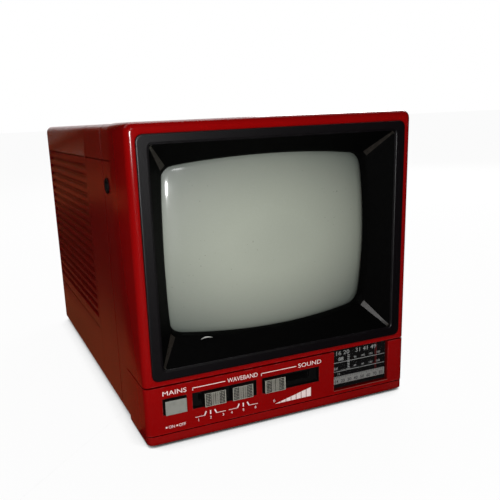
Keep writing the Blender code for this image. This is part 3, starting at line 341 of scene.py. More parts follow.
def piece(name, bm, material, body="set", replaces=(), smooth=32.0, others=(), choose=None):
    """Makes a riding piece from a mesh that is already in the row's frame.

    With other materials, choose(x, y, z, normal) gives the number of the one that a face gets.
    """
    bmesh.ops.recalc_face_normals(bm, faces=bm.faces)
    if choose:
        for face in bm.faces:
            x, y, z = face.calc_center_median() / MM
            face.material_index = choose(x + MIDDLE_X, y + MIDDLE_Y, z, face.normal)
    mesh = bpy.data.meshes.new(name)
    bm.to_mesh(mesh)
    bm.free()
    mesh.shade_smooth()
    mesh.set_sharp_from_angle(angle=math.radians(smooth))
    for each in (material, *others):
        mesh.materials.append(each)
    thing = bpy.data.objects.new(name, mesh)
    bpy.context.scene.collection.objects.link(thing)
    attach(thing, body)
    if replaces:
        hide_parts(*replaces)
    return thing


def skin(bm, rings, wrap=False):
    """Joins rings of points with the same count, or single points, into one closed surface."""
    loops = [[bm.verts.new(spot(*p)) for p in ring] for ring in rings]
    pairs = list(zip(loops, loops[1:]))
    if wrap:
        pairs.append((loops[-1], loops[0]))
    for first, second in pairs:
        count = max(len(first), len(second))
        for i in range(count):
            j = (i + 1) % count
            near = [first[i % len(first)], first[j % len(first)]]
            far = [second[j % len(second)], second[i % len(second)]]
            bm.faces.new(list(dict.fromkeys(near + far)))
    if not wrap:
        for end in (loops[0], loops[-1]):
            if len(end) > 2:
                bm.faces.new(end)


def block(bm, low, high):
    """A box between two corners."""
    middle = (spot(*low) + spot(*high)) / 2
    size = spot(*high) - spot(*low)
    bmesh.ops.create_cube(bm, matrix=Matrix.Translation(middle) @ Matrix.Diagonal((*size, 1.0)))


def turned(bm, profile, axis, centre, steps=48, flutes=0, flute_depth=0.0, fluted=()):
    """Turns (radius, along) points about an axis, with flutes cut in the rings named by index."""
    rings = []
    for index, (radius, along) in enumerate(profile):
        ring = []
        for i in range(steps if radius else 1):
            angle = 2 * math.pi * i / steps
            reach = radius
            if flutes and index in fluted:
                reach -= flute_depth * (0.5 + 0.5 * math.cos(flutes * angle)) ** 2
            a = centre[0] + reach * math.cos(angle)
            b = centre[1] + reach * math.sin(angle)
            ring.append({"X": (along, a, b), "Y": (a, along, b), "Z": (a, b, along)}[axis])
        rings.append(ring)
    skin(bm, rings, wrap=bool(profile[0][0] and profile[-1][0]))


# Screen surround

SIDE_POINTS = 26
CORNER_POINTS = 10


def bowed(half_x, half_z, bow_x, bow_z, radius, flat_corner=False):
    """A rectangle whose sides bow outwards, with round or flat corners, as a loop round the screen."""
    corner_x = half_x - bow_x
    corner_z = half_z - bow_z
    quarter = []
    for i in range(SIDE_POINTS):
        z = (corner_z - radius) * i / (SIDE_POINTS - 1)
        quarter.append((half_x - bow_x * (z / corner_z) ** 2, z))
    start = Vector(quarter.pop())
    top_x = corner_x - radius
    end = Vector((top_x, half_z - bow_z * (top_x / corner_x) ** 2))
    corner = Vector((corner_x, corner_z))
    for i in range(CORNER_POINTS + 1):
        t = i / CORNER_POINTS
        middle = (start + end) / 2 if flat_corner else corner
        quarter.append(tuple(start * (1 - t) ** 2 + middle * 2 * t * (1 - t) + end * t * t))
    for i in range(1, SIDE_POINTS):
        x = top_x * (1 - i / (SIDE_POINTS - 1))
        quarter.append((x, half_z - bow_z * (x / corner_x) ** 2))
    loop = quarter[:-1]
    loop += [(-x, z) for x, z in reversed(quarter[1:])]
    loop += [(-x, -z) for x, z in quarter[:-1]]
    loop += [(x, -z) for x, z in reversed(quarter[1:])]
    return loop


MASK_MIDDLE = 88.5
FACE_APEX = 9.0
FACE_CURVE = 260.0


def face_depth(x, z):
    """How far back the tube's domed face lies, z counted from the screen's middle."""
    return FACE_APEX + (x * x + z * z) / (2 * FACE_CURVE)


def level(loop, y, middle=SCREEN_Z):
    return [(x, y, middle + z) for x, z in loop]


def sunk(loop, behind):
    """A loop that lies a distance behind the tube's face."""
    return [(x, face_depth(x, z) + behind, SCREEN_Z + z) for x, z in loop]


def screen_surround():
    """Rim, ridge, four slopes with narrow corner strips, and the deep lip round the glass."""
    rim_x, rim_z, rim_corner, rim_back = 68.2, 55.0, 3.5, 4.5
    ridge_x, ridge_z, ridge_corner, ridge_middle = 62.9, 50.55, 2.4, 88.85
    slope_top, slope_gap = 0.1, 5.0
    rings = [level(bowed(rim_x, rim_z, 0.0, 0.0, rim_corner), rim_back, MASK_MIDDLE)]
    flange = (
        (0.0, 0.4), (0.0, -0.12), (-0.5, -0.12), (-0.45, -0.45),
        (-0.2, -0.7), (0.1, -0.8), (0.25, -0.8),
    )
    for inset, y in flange:
        loop = bowed(rim_x - inset, rim_z - inset, 0.0, 0.0, rim_corner - inset / 2)
        rings.append(level(loop, y, MASK_MIDDLE))
    ridge_steps = (
        (1.3, -0.8), (1.15, -0.8), (0.9, -0.74), (0.7, -0.55),
        (0.6, -0.25), (0.35, -0.2), (0.1, -0.12), (0.0, slope_top),
    )
    for grow, y in ridge_steps:
        loop = bowed(ridge_x + grow, ridge_z + grow, 0.0, 0.0, ridge_corner + grow / 2)
        rings.append(level(loop, y, ridge_middle))
    inner = bowed(56.2, 43.6, 2.2, 4.2, 2.0, True)
    ridge = bowed(ridge_x, ridge_z, 0.0, 0.0, 0.8, True)
    for share in (0.04, 0.3, 0.6, 0.93, 0.985, 1.0):
        ring = []
        for (x0, z0), (x1, z1) in zip(ridge, inner):
            x, z = x0 + (x1 - x0) * share, z0 + (z1 - z0) * share
            deep = face_depth(x1, z1) - slope_gap
            droop = 0.25 if share == 1.0 else 0.0
            middle = ridge_middle + (SCREEN_Z - ridge_middle) * share
            ring.append((x, slope_top + (deep - slope_top) * share + droop, middle + z))
        rings.append(ring)
    lip = bowed(55.9, 43.3, 1.9, 3.7, 5.0)
    opening = bowed(55.4, 42.8, 1.6, 3.4, 7.0)
    rings += [sunk(lip, -4.3), sunk(opening, -2.0), sunk(opening, -0.35)]
    wide = bowed(58.0, 45.0, 1.6, 3.4, 7.0)
    behind = bowed(64.0, 51.6, 0.0, 0.0, 3.0)
    outside = bowed(66.2, 52.4, 0.0, 0.0, 2.0)
    rings += [sunk(wide, -0.35), level(behind, 3.2), level(outside, 2.0, MASK_MIDDLE)]
    rings.append(level(outside, rim_back, MASK_MIDDLE))
    bm = bmesh.new()
    skin(bm, rings, wrap=True)
    boss_x, boss_z, boss_facets = 64.5, 51.0, 20
    boss = ((0.0, 2.3), (3.2, 2.3), (3.2, 22.0), (1.6, 22.0), (1.6, 8.0), (0.0, 8.0))
    for x in (-boss_x, boss_x):
        for z in (-boss_z, boss_z):
            turned(bm, boss, "Y", (x, SCREEN_Z + z), boss_facets)

    def finish(x, y, z, normal):
        inside = abs(x) < ridge_x + 0.1 and abs(z - ridge_middle) < ridge_z + 0.1
        if not inside or y < -0.3:
            return 0
        oblique = min(abs(normal.x), abs(normal.z)) > 0.25
        corner = max(abs(x) / 55.0, abs(z - SCREEN_Z) / 41.0) > 1.0
        return 2 if oblique and corner else 1

    return piece(
        "screen_surround", bm, RIM_BLACK, replaces=["screen_mask"], smooth=24.0,
        others=[SLOPE_BLACK, STRIP_BLACK], choose=finish,
    )


def surround_scratch(surround):
    """A short curved scratch, rubbed pale, on the lower slope."""
    left, long, low, arch, wide, thick = -40.6, 6.0, 46.1, 0.9, 0.24, 0.08
    steps = 10
    mesh = surround.data
    slope = BVHTree.FromPolygons([v.co for v in mesh.vertices], [p.vertices for p in mesh.polygons])

    def on_slope(x, z, lift):
        point = slope.ray_cast(spot(x, FRONT_Y - 5.0, z), Vector((0.0, 1.0, 0.0)))[0]
        return (x, point.y / MM + MIDDLE_Y + lift, z)

    section = ((-1, -thick), (1, -thick), (1, thick), (-1, thick))
    rings = []
    for i in range(steps + 1):
        t = i / steps
        x = left + long * t
        z = low + arch * math.sin(math.pi * (0.15 + 0.7 * t))
        half = wide * math.sin(math.pi * (0.06 + 0.88 * t))
        rings.append([on_slope(x, z + side * half, lift) for side, lift in section])
    bm = bmesh.new()
    skin(bm, rings)
    piece("surround_scratch", bm, SCRATCH_INK)


def tube_glass():
    """The domed face with a rolled edge, and its skirt behind."""
    outline = (60.5, 48.5, 1.6, 3.4, 9.0)
    roll_start, roll_rate, skirt_back, wall = 0.85, 14.0, 27.9, 4.0
    rings = [[(0.0, FACE_APEX, SCREEN_Z)]]
    for share in (0.06, 0.16, 0.28, 0.4, 0.52, 0.64, 0.75, 0.85, 0.92):
        loop = bowed(*[size * share for size in outline])
        roll = max(0.0, share - roll_start) * roll_rate
        rings.append([(x, face_depth(x, z) + roll, SCREEN_Z + z) for x, z in loop])
    edge = bowed(*outline)
    for share, deep in ((0.955, 1.9), (0.985, 3.6), (1.0, 6.0)):
        rings.append([(x * share, face_depth(x, z) + deep, SCREEN_Z + z * share) for x, z in edge])
    rings += [level(edge, skirt_back), level(bowed(56.5, 44.5, 1.6, 3.4, 7.0), skirt_back)]
    back = bowed(54.0, 42.0, 1.6, 3.4, 7.0)
    rings += [sunk(back, 5.0), [(0.0, FACE_APEX + wall, SCREEN_Z)]]
    bm = bmesh.new()
    skin(bm, rings)
    piece("tube_front_glass", bm, PHOSPHOR, replaces=["tube_face"], smooth=50.0)


# Front controls


def relief_cap(bm, x, wide, high, back, relief, columns, rows, round_edge=0.16):
    """A cap whose front is a grid pushed in by relief(u, v) millimetres, with rounded edges."""
    front = []
    for j in range(rows + 1):
        v = -high / 2 + high * j / rows
        line = []
        for i in range(columns + 1):
            u = -wide / 2 + wide * i / columns
            near = min(wide / 2 - abs(u), high / 2 - abs(v))
            fall = 0.0
            if near < round_edge:
                fall = round_edge - math.sqrt(max(0.0, round_edge ** 2 - (round_edge - near) ** 2))
            line.append(bm.verts.new(spot(x + u, KNOB_FRONT + fall + relief(u, v), CONTROL_Z + v)))
        front.append(line)
    for j in range(rows):
        for i in range(columns):
            bm.faces.new((front[j][i], front[j][i + 1], front[j + 1][i + 1], front[j + 1][i]))
    border = front[0] + [line[-1] for line in front[1:]]
    border += front[-1][-2::-1] + [line[0] for line in front[-2:0:-1]]
    behind = [bm.verts.new((v.co.x, spot(0.0, back, 0.0).y, v.co.z)) for v in border]
    for i in range(len(border)):
        j = (i + 1) % len(border)
        bm.faces.new((border[i], border[j], behind[j], behind[i]))
    bm.faces.new(behind)
    stem_low = (x - STEM_HALF, back - 0.5, CONTROL_Z - STEM_HALF)
    stem_high = (x + STEM_HALF, STEM_END, CONTROL_Z + STEM_HALF)
    block(bm, stem_low, stem_high)


def slider_relief(u, v):
    """Raised dots on a sunk field near each side, fine grooves and a wider index groove between them."""
    half_high, half_wide, index_half, index_deep = 3.15, 5.05, 0.17, 0.3
    field_start, first_column, dot_pitch, row_pitch = 2.35, 2.75, 0.75, 0.8
    dot_radius, field_deep = 0.27, 0.25
    first_groove, groove_pitch, groove_half, groove_deep, groove_start = 0.6, 0.55, 0.075, 0.2, 0.4
    a = abs(u)
    if abs(v) > half_high or a > half_wide:
        return 0.0
    if a < index_half:
        return index_deep
    if a > field_start:
        column = (a - first_column) / dot_pitch
        row = v / row_pitch
        off = math.hypot((column - round(column)) * dot_pitch, (row - round(row)) * row_pitch)
        return 0.0 if off < dot_radius else field_deep
    groove = (a - first_groove) / groove_pitch
    cut = abs(groove - round(groove)) * groove_pitch < groove_half and a > groove_start
    return groove_deep if cut else 0.0


def cap_finish(x, y, z, normal):
    """Grey on the raised front, black on the sides and in the recesses."""
    return 1 if abs(normal.x) > 0.8 or abs(normal.z) > 0.8 or y > KNOB_FRONT + 0.17 else 0


def button_finish(x, y, z, normal):
    return 0 if normal.y < -0.5 else 1


def button_relief(u, v):
    """A shallow dish."""
    return 0.22 * max(0.0, 1.0 - (u / 5.0) ** 2) * max(0.0, 1.0 - (v / 3.3) ** 2)


def front_knobs():
    for name, x, wide in SLIDERS:
        bm = bmesh.new()
        relief_cap(bm, x, wide, KNOB_HIGH, KNOB_BACK, slider_relief, 110, 72)
        piece(f"{name}_cap", bm, GREY, name, [name], others=[SLOT_BLACK], choose=cap_finish)
    bm = bmesh.new()
    relief_cap(bm, POWER_X, *POWER_SIZE, POWER_BACK, button_relief, 44, 30)
    piece(
        "power_button_cap", bm, BUTTON_GREY, "power_button", ["power_button"],
        others=[SLOT_BLACK], choose=button_finish,
    )


# Printed marks


def lettering(bm, text, x, z, high, y, thick=0.05, bold=0.012, wide=None):
    """Adds flat letters that face forwards, centred on x with their feet at height z."""
    curve = bpy.data.curves.new("letters", "FONT")
    curve.body = text
    curve.align_x = "CENTER"
    curve.offset = bold
    curve.extrude = 0.5
    curve.resolution_u = 3
    carrier = bpy.data.objects.new("letters", curve)
    bpy.context.scene.collection.objects.link(carrier)
    shape = carrier.to_mesh()
    size = high / 0.73
    across = [vertex.co.x for vertex in shape.vertices]
    stretch = wide / (max(across) - min(across)) if wide else size
    for vertex in shape.vertices:
        a, b, c = vertex.co
        vertex.co = spot(x + a * stretch, y - c * thick, z + b * size)
    bm.from_mesh(shape)
    carrier.to_mesh_clear()
    bpy.data.objects.remove(carrier)
    bpy.data.curves.remove(curve)


def stroke(bm, a, b, width, y, thick=0.05):
    """A flat line between two points (x, z) of the front."""
    a, b = Vector(a), Vector(b)
    side = (b - a).orthogonal().normalized() * width / 2
    flat(bm, [a - side, b - side, b + side, a + side], y, thick)


def flat(bm, outline, y, thick=0.05):
    """A flat shape of points (x, z) with a printed layer's thickness."""
    skin(bm, [[(x, y - thick / 2, z) for x, z in outline], [(x, y + thick / 2, z) for x, z in outline]])


def panel_marks():
    """Headings, brackets, position ticks and the volume wedge."""
    bm = bmesh.new()
    y = FRONT_Y
    heading_z, heading_high = 25.45, 2.3
    for word, left, right in (("MAINS", -64.4, -52.6), ("WAVEBAND", -31.4, -15.2), ("SOUND", 7.6, 21.0)):
        lettering(bm, word, (left + right) / 2, heading_z, heading_high, y, bold=0.0, wide=right - left)
    bracket_z, bracket_top, bracket_foot, line = 26.5, 26.6, 25.3, 0.36
    for left, right in ((-49.4, -32.6), (-13.2, 6.4)):
        stroke(bm, (left - line / 2, bracket_z), (right, bracket_z), line, y)
        stroke(bm, (left, bracket_top), (left, bracket_foot), line, y)
    tick_top, tick_foot, tick_line, tail_line = 13.2, 11.2, 0.6, 0.26
    number_z, number_high = 8.8, 1.5
    for middle, numbers in ((-40.9, "123"), (-23.5, "456")):
        stroke(bm, (middle, tick_top), (middle, tick_foot), tick_line, y)
        for side in (-1, 1):
            stroke(bm, (middle + side * 2.2, tick_top), (middle + side * 3.2, tick_foot - 0.1), tick_line, y)
            stroke(bm, (middle + side * 3.0, tick_foot), (middle + side * 7.9, tick_foot), tail_line, y)
        for number, x in zip(numbers, (middle - 6.3, middle, middle + 6.6)):
            lettering(bm, number, x, number_z, number_high, y, bold=0.0)
    dot_half, dot_low, dot_high, word_z, word_high = 0.4, 8.9, 9.7, 8.5, 1.6
    for x, word, wide in ((-63.4, "ON", 3.0), (-58.1, "OFF", 3.5)):
        x0, x1 = x - dot_half, x + dot_half
        flat(bm, [(x0, dot_low), (x1, dot_low), (x1, dot_high), (x0, dot_high)], y)
        lettering(bm, word, x + 2.6, word_z, word_high, y, bold=0.0, wide=wide)
    lettering(bm, "0", -6.4, 9.7, number_high, y, bold=0.0)
    low, high = (-5.6, 8.6), (15.0, 13.4)
    steps, gap, least_rise = 7, 0.17, 0.12
    for i in range(steps):
        x0 = low[0] + (high[0] - low[0]) * i / steps + (gap if i else 0.0)
        x1 = low[0] + (high[0] - low[0]) * (i + 1) / steps - gap
        rise = [(high[1] - low[1]) * (x - low[0]) / (high[0] - low[0]) + least_rise for x in (x0, x1)]
        flat(bm, [(x0, low[1]), (x1, low[1]), (x1, low[1] + rise[1]), (x0, low[1] + rise[0])], y)
    piece("panel_marks", bm, PANEL_INK)


def dial_marks():
    """Scale lines and numbers on the back of the window, and the grey band with its ruler."""
    y, lift = 2.46, 0.04
    top_z, top_high = 26.5, 2.3
    bm = bmesh.new()
    for left, right, text in ((31.4, 39.4, "16 20"), (43.6, 56.6, "31 41 49")):
        lettering(bm, text, (left + right) / 2, top_z, top_high, y, bold=0.0, wide=right - left)
    line_left, line_right, line_wide = 29.1, 62.2, 0.28
    for z in (22.4, 17.4):
        stroke(bm, (line_left, z), (line_right, z), line_wide, y)
    lettering(bm, "88", 34.6, 23.3, 2.0, y, wide=3.2)
    lettering(bm, "54", 31.4, 18.2, 1.8, y, bold=0.0)
    lettering(bm, "10", 33.2, 15.3, 1.3, y, bold=0.0)
    first_x, pitch, small = 43.4, 4.9, 1.2
    for z, texts in ((23.3, ("96", "100", "104", "108")), (18.4, ("60", "80", "120", "160"))):
        for i, text in enumerate(texts):
            lettering(bm, text, first_x + pitch * i, z, small, y, bold=0.0)
    bar_left, bar_right, bar_low, bar_pitch, bar_high, bars = 38.6, 40.0, 17.8, 0.95, 0.4, 9
    for i in range(bars):
        z = bar_low + bar_pitch * i
        flat(bm, [(bar_left, z), (bar_right, z), (bar_right, z + bar_high), (bar_left, z + bar_high)], y)
    piece("dial_scale", bm, DIAL_INK)
    bm = bmesh.new()
    flat(bm, [(29.0, 10.4), (62.3, 10.4), (62.3, 14.6), (29.0, 14.6)], y)
    piece("dial_band", bm, BAND_INK)
    bm = bmesh.new()
    ruler_x, ruler_pitch, ruler_top, ruler_ticks, tick_line = 30.6, 1.13, 14.5, 28, 0.22
    for i in range(ruler_ticks):
        x = ruler_x + ruler_pitch * i
        stroke(bm, (x, ruler_top), (x, 13.7 if i % 3 else 13.3), tick_line, y - lift)
    number_x, number_pitch, number_z, number_high = 31.8, 4.05, 10.9, 1.9
    for i, text in enumerate(("14", "20", "30", "40", "50", "60", "70", "83")):
        lettering(bm, text, number_x + number_pitch * i, number_z, number_high, y - lift)
    piece("dial_band_marks", bm, DARK_INK)
    # A pale brownish strip along the window's lower edge: a painted highlight where the sill's chamfer
    # catches light.
    bm = bmesh.new()
    ends = (28.9, 62.9)
    section = ((0.02, 7.75), (-0.05, 7.85), (-0.05, 8.05), (0.25, 8.12))
    skin(bm, [[(x, y, z) for y, z in section] for x in ends])
    piece("dial_sill_highlight", bm, SILL_SHEEN)


# Small linings and fittings


def opening_lining(bm, left, right, high, y0, y1, wall=0.16):
    """A thin dark tube just inside an opening of the panel."""
    def loop(inset, y):
        x0, x1 = left + inset, right - inset
        z0, z1 = CONTROL_Z - high / 2 + inset, CONTROL_Z + high / 2 - inset
        return [(x0, y, z0), (x1, y, z0), (x1, y, z1), (x0, y, z1)]

    skin(bm, [loop(0.02, y0), loop(0.02, y1), loop(wall, y1), loop(wall, y0)], wrap=True)


def front_linings():
    bm = bmesh.new()
    high, y0, y1 = 8.2, 0.12, 2.4
    for left, right in ((POWER_X - 6.0, POWER_X + 6.0), (-49.8, -16.0), (-12.9, 19.7)):
        opening_lining(bm, left, right, high, y0, y1)
    piece("opening_linings", bm, SLOT_BLACK)


def earphone_collar():
    """The socket's flange, a thin ring round the hole in the left side."""
    bm = bmesh.new()
    jack_y, jack_z, facets = 40.1, 120.1, 40
    profile = (
        (2.0, -70.0), (3.25, -70.0), (3.25, -73.0), (3.75, -73.0),
        (3.75, -73.25), (3.5, -73.4), (2.5, -73.3), (2.0, -72.6),
    )
    turned(bm, profile, "X", (jack_y, jack_z), facets)
    piece("earphone_collar", bm, SLOT_BLACK)


# Wheel, rear knobs and antenna


def tuning_thumbwheel():
    bm = bmesh.new()
    drum = ((3.3, 15.0), (10.0, 15.0), (10.0, 15.6), (8.0, 15.6), (8.0, 17.8), (10.0, 17.8), (10.0, 20.0))
    rim = ((19.2, 20.0), (19.75, 20.25), (20.0, 20.8), (20.0, 26.2), (19.75, 26.75), (19.2, 27.0))
    profile = drum + rim + ((15.0, 27.0), (14.6, 26.6), (3.3, 26.6))
    turned(bm, profile, "Z", (WHEEL_X, WHEEL_Y), 288, 72, 0.45, (9, 10))
    piece("thumbwheel", bm, TRIM_BLACK, "tuning", ["tuning_wheel"])


def rear_knobs():
    profile = (
        (0.0, 218.0), (3.0, 218.0), (3.0, 230.6), (5.9, 230.6), (6.2, 230.9),
        (6.2, 233.5), (5.9, 234.1), (5.2, 234.5), (4.6, 234.6), (0.0, 234.45),
    )
    for name, x in REAR_KNOBS:
        bm = bmesh.new()
        turned(bm, profile, "Y", (x, REAR_KNOB_Z), 120, 24, 0.5, (4, 5))
        piece(f"{name}_cap", bm, TRIM_BLACK, name, [f"{name}_knob"])
        bm = bmesh.new()
        block(bm, (x - 0.35, 234.4, REAR_KNOB_Z + 1.2), (x + 0.35, 234.68, REAR_KNOB_Z + 5.0))
        piece(f"{name}_index", bm, PANEL_INK, name)


def knob_scales():
    """Ticks round each rear knob, longer at the middle and the ends."""
    bm = bmesh.new()
    face, thick, ticks, start, step = 230.0, 0.4, 11, -150.0, 30.0
    inner, short, long = 7.4, 8.5, 9.2
    for _, x in REAR_KNOBS:
        for i in range(ticks):
            angle = math.radians(start + step * i)
            outer = long if i % 5 == 0 else short
            a = (x + inner * math.sin(angle), REAR_KNOB_Z + inner * math.cos(angle))
            b = (x + outer * math.sin(angle), REAR_KNOB_Z + outer * math.cos(angle))
            stroke(bm, a, b, thick, face)
    piece("knob_scales", bm, PANEL_INK)


def antenna_trim():
    """Rolled collars at the tube ends, a domed tip and the hinge rivet."""
    line = (MAST_Y, MAST_Z)
    for name, body, end, radius, bore in (
        ("collar_1", "antenna_rod", -48.0, 3.0, 2.5),
        ("collar_2", "antenna_second", -49.5, 2.2, 1.75),
        ("collar_3", "antenna_third", -51.0, 1.45, 1.0),
    ):
        bm = bmesh.new()
        profile = (
            (radius - 0.05, end + 3.2), (radius + 0.12, end + 3.0),
            (radius + 0.12, end + 0.4), (radius, end + 0.05),
            (bore + 0.1, end - 0.1), (bore + 0.1, end + 0.3), (radius - 0.05, end + 0.5),
        )
        turned(bm, profile, "X", line, 36)
        piece(f"antenna_{name}", bm, CHROME, body)
    bm = bmesh.new()
    rod = ((0.0, 42.5), (0.7, 42.5), (0.7, -52.4))
    neck = ((1.5, -52.5), (2.2, -52.8), (2.4, -53.3), (2.4, -54.2), (2.1, -54.4), (2.1, -54.8))
    button = ((2.4, -55.0), (2.4, -56.6), (2.2, -57.3), (1.7, -57.8), (0.9, -58.0), (0.0, -58.05))
    turned(bm, rod + neck + button, "X", line, 36)
    piece("antenna_tip_button", bm, CHROME, "antenna_end", ["antenna_tip"])
    bm = bmesh.new()
    for side in (-1, 1):
        face = MAST_Z + side * 5.4
        dome = ((0.0, -0.2), (1.5, -0.2), (1.5, 0.15), (1.1, 0.4), (0.0, 0.5))
        turned(bm, [(radius, face + side * rise) for radius, rise in dome], "Z", (MAST_X, MAST_Y), 24)
    piece("antenna_rivet", bm, STEEL, "antenna_swivel")


# Packed solids that stay


def shading_group():
    """A node group that welds a solid's facets and smooths its shallow edges."""
    group = bpy.data.node_groups.new("smooth_facets", "GeometryNodeTree")
    group.interface.new_socket("Geometry", in_out="INPUT", socket_type="NodeSocketGeometry")
    group.interface.new_socket("Geometry", in_out="OUTPUT", socket_type="NodeSocketGeometry")
    nodes, links = group.nodes, group.links
    start = nodes.new("NodeGroupInput")
    end = nodes.new("NodeGroupOutput")
    bare = nodes.new("GeometryNodeRemoveAttribute")
    bare.inputs["Name"].default_value = "custom_normal"
    weld = nodes.new("GeometryNodeMergeByDistance")
    weld.inputs["Distance"].default_value = 0.00001
    faces = nodes.new("GeometryNodeSetShadeSmooth")
    edges = nodes.new("GeometryNodeSetShadeSmooth")
    edges.domain = "EDGE"
    edges.inputs["Shade Smooth"].default_value = False
    angle = nodes.new("GeometryNodeInputMeshEdgeAngle")
    sharp = nodes.new("FunctionNodeCompare")
    sharp.inputs[1].default_value = math.radians(33.0)
    links.new(start.outputs[0], bare.inputs["Geometry"])
    links.new(bare.outputs["Geometry"], weld.inputs["Geometry"])
    links.new(weld.outputs["Geometry"], faces.inputs["Geometry"])
    links.new(faces.outputs["Geometry"], edges.inputs["Geometry"])
    links.new(angle.outputs["Unsigned Angle"], sharp.inputs[0])
    links.new(sharp.outputs["Result"], edges.inputs["Selection"])
    links.new(edges.outputs["Geometry"], end.inputs[0])
    return group


SMOOTH_FACETS = shading_group()
SOLID_FINISHES = (
    (FRONT_RED, 0.06, ("front_frame", "control_panel")),
    (SHELL_RED, 0.0, ("mid_cabinet", "rear_cover")),
    (SLOT_BLACK, 0.0, ("slot_backing", "power_switch", "selector_switch", "volume_control", "dial_plate")),
    (TRIM_BLACK, 0.2, ("earphone_jack", "dc_jack", "antenna_bracket", "antenna_swivel", "tube_base")),
    (LENS, 0.0, ("dial_lens",)),
    (POINTER_RED, 0.0, ("dial_pointer",)),
    (CHROME, 0.0, ("antenna_tube_1", "antenna_tube_2", "antenna_tube_3")),
    (STEEL, 0.15, ("tube_band", "dial_bracket", "tuning_shaft", "speaker_basket")),
    (STEEL, 0.15, ("cover_screw_left", "cover_screw_right")),
    (STEEL, 0.0, ("brightness_pot", "contrast_pot", "hold_pot")),
    (TIN, 0.3, ("tuner_module",)),
    (ALUMINIUM, 0.0, ("heat_sink",)),
    (BOARD, 0.0, ("control_board", "main_board", "tube_socket")),
    (FERRITE, 0.3, ("ferrite_rod", "deflection_yoke", "flyback_transformer")),
    (COATING, 0.0, ("tube_funnel",)),
    (SLEEVE, 0.3, ("filter_capacitor",)),
    (PAPER, 0.0, ("speaker_cone",)),
    (RUBBER, 0.2, ("foot_front_left", "foot_front_right", "foot_rear_left", "foot_rear_right", "anode_cap")),
    (LEAD, 0.0, ("anode_lead",)),
    (CORD, 0.0, ("dial_cord",)),
    (DRIVE, 0.0, ("idler_left", "idler_right", "tuning_capacitor")),
)


def dress_solids():
    for material, edge, names in SOLID_FINISHES:
        for name in names:
            solid = frame["nodes"][name]
            solid.data.materials.clear()
            solid.data.materials.append(material)
            smooth = solid.modifiers.new("Facets", "NODES")
            smooth.node_group = SMOOTH_FACETS
            if edge:
                bevel = solid.modifiers.new("Edges", "BEVEL")
                bevel.width = edge * MM
                bevel.segments = 2
                bevel.limit_method = "ANGLE"
                bevel.angle_limit = math.radians(40.0)
                bevel.harden_normals = True


# Stage


def plain_sheet(name, corners, material):
    mesh = bpy.data.meshes.new(name)
    mesh.from_pydata(corners, [], [tuple(range(len(corners)))])
    mesh.materials.append(material)
    sheet = bpy.data.objects.new(name, mesh)
    bpy.context.scene.collection.objects.link(sheet)
    return sheet


def background_ray(tree):
    """1 for rays that show the background: camera, glossy and transmission rays."""
    path = tree.nodes.new("ShaderNodeLightPath")
    seen = path.outputs["Is Camera Ray"]
    for other in ("Is Glossy Ray", "Is Transmission Ray"):
        highest = tree.nodes.new("ShaderNodeMath")
        highest.operation = "MAXIMUM"
        tree.links.new(seen, highest.inputs[0])
        tree.links.new(path.outputs[other], highest.inputs[1])
        seen = highest.outputs[0]
    return seen


def floor():
    """A pale sheet that shows as white and keeps the shadow under and round the set."""
    material = bpy.data.materials.new("pale_floor")
    material.use_nodes = True
    tree = material.node_tree
    tree.nodes.clear()
    end = tree.nodes.new("ShaderNodeOutputMaterial")
    diffuse = tree.nodes.new("ShaderNodeBsdfDiffuse")
    diffuse.inputs["Color"].default_value = (0.8, 0.8, 0.8, 1.0)
    white = tree.nodes.new("ShaderNodeEmission")
    contact = tree.nodes.new("ShaderNodeAmbientOcclusion")
    contact.samples = 8
    contact.inputs["Distance"].default_value = 0.016
    open_floor = tree.nodes.new("ShaderNodeMapRange")
    open_floor.inputs["From Min"].default_value = 0.12
    open_floor.inputs["From Max"].default_value = 0.62
    tree.links.new(contact.outputs["AO"], open_floor.inputs["Value"])
    tree.links.new(open_floor.outputs[0], white.inputs["Strength"])
    share = tree.nodes.new("ShaderNodeMath")
    share.operation = "MULTIPLY"
    share.inputs[1].default_value = 0.96
    mix = tree.nodes.new("ShaderNodeMixShader")
    tree.links.new(background_ray(tree), share.inputs[0])
    tree.links.new(share.outputs[0], mix.inputs[0])
    tree.links.new(diffuse.outputs[0], mix.inputs[1])
    tree.links.new(white.outputs[0], mix.inputs[2])
    tree.links.new(mix.outputs[0], end.inputs[0])
    reach = 30.0
    corners = [(-reach, -reach, 0.0), (reach, -reach, 0.0), (reach, reach, 0.0), (-reach, reach, 0.0)]
    plain_sheet("floor", corners, material)


def world():
    light = bpy.data.worlds.new("studio")
    light.use_nodes = True
    tree = light.node_tree
    tree.nodes.clear()
    end = tree.nodes.new("ShaderNodeOutputWorld")
    fill = tree.nodes.new("ShaderNodeBackground")
    fill.inputs["Color"].default_value = (1.0, 0.98, 0.95, 1.0)
    fill.inputs["Strength"].default_value = 0.09
    white = tree.nodes.new("ShaderNodeBackground")
    white.inputs["Color"].default_value = (1.0, 1.0, 1.0, 1.0)
    mix = tree.nodes.new("ShaderNodeMixShader")
    tree.links.new(background_ray(tree), mix.inputs[0])
    tree.links.new(fill.outputs[0], mix.inputs[1])
    tree.links.new(white.outputs[0], mix.inputs[2])
    tree.links.new(mix.outputs[0], end.inputs[0])
    bpy.context.scene.world = light


def card_glow(name, colour):
    material = bpy.data.materials.new(name)
    material.use_nodes = True
    tree = material.node_tree
    tree.nodes.clear()
    end = tree.nodes.new("ShaderNodeOutputMaterial")
    glow = tree.nodes.new("ShaderNodeEmission")
    glow.inputs["Color"].default_value = (*colour, 1.0)
    tree.links.new(glow.outputs[0], end.inputs[0])
    return material


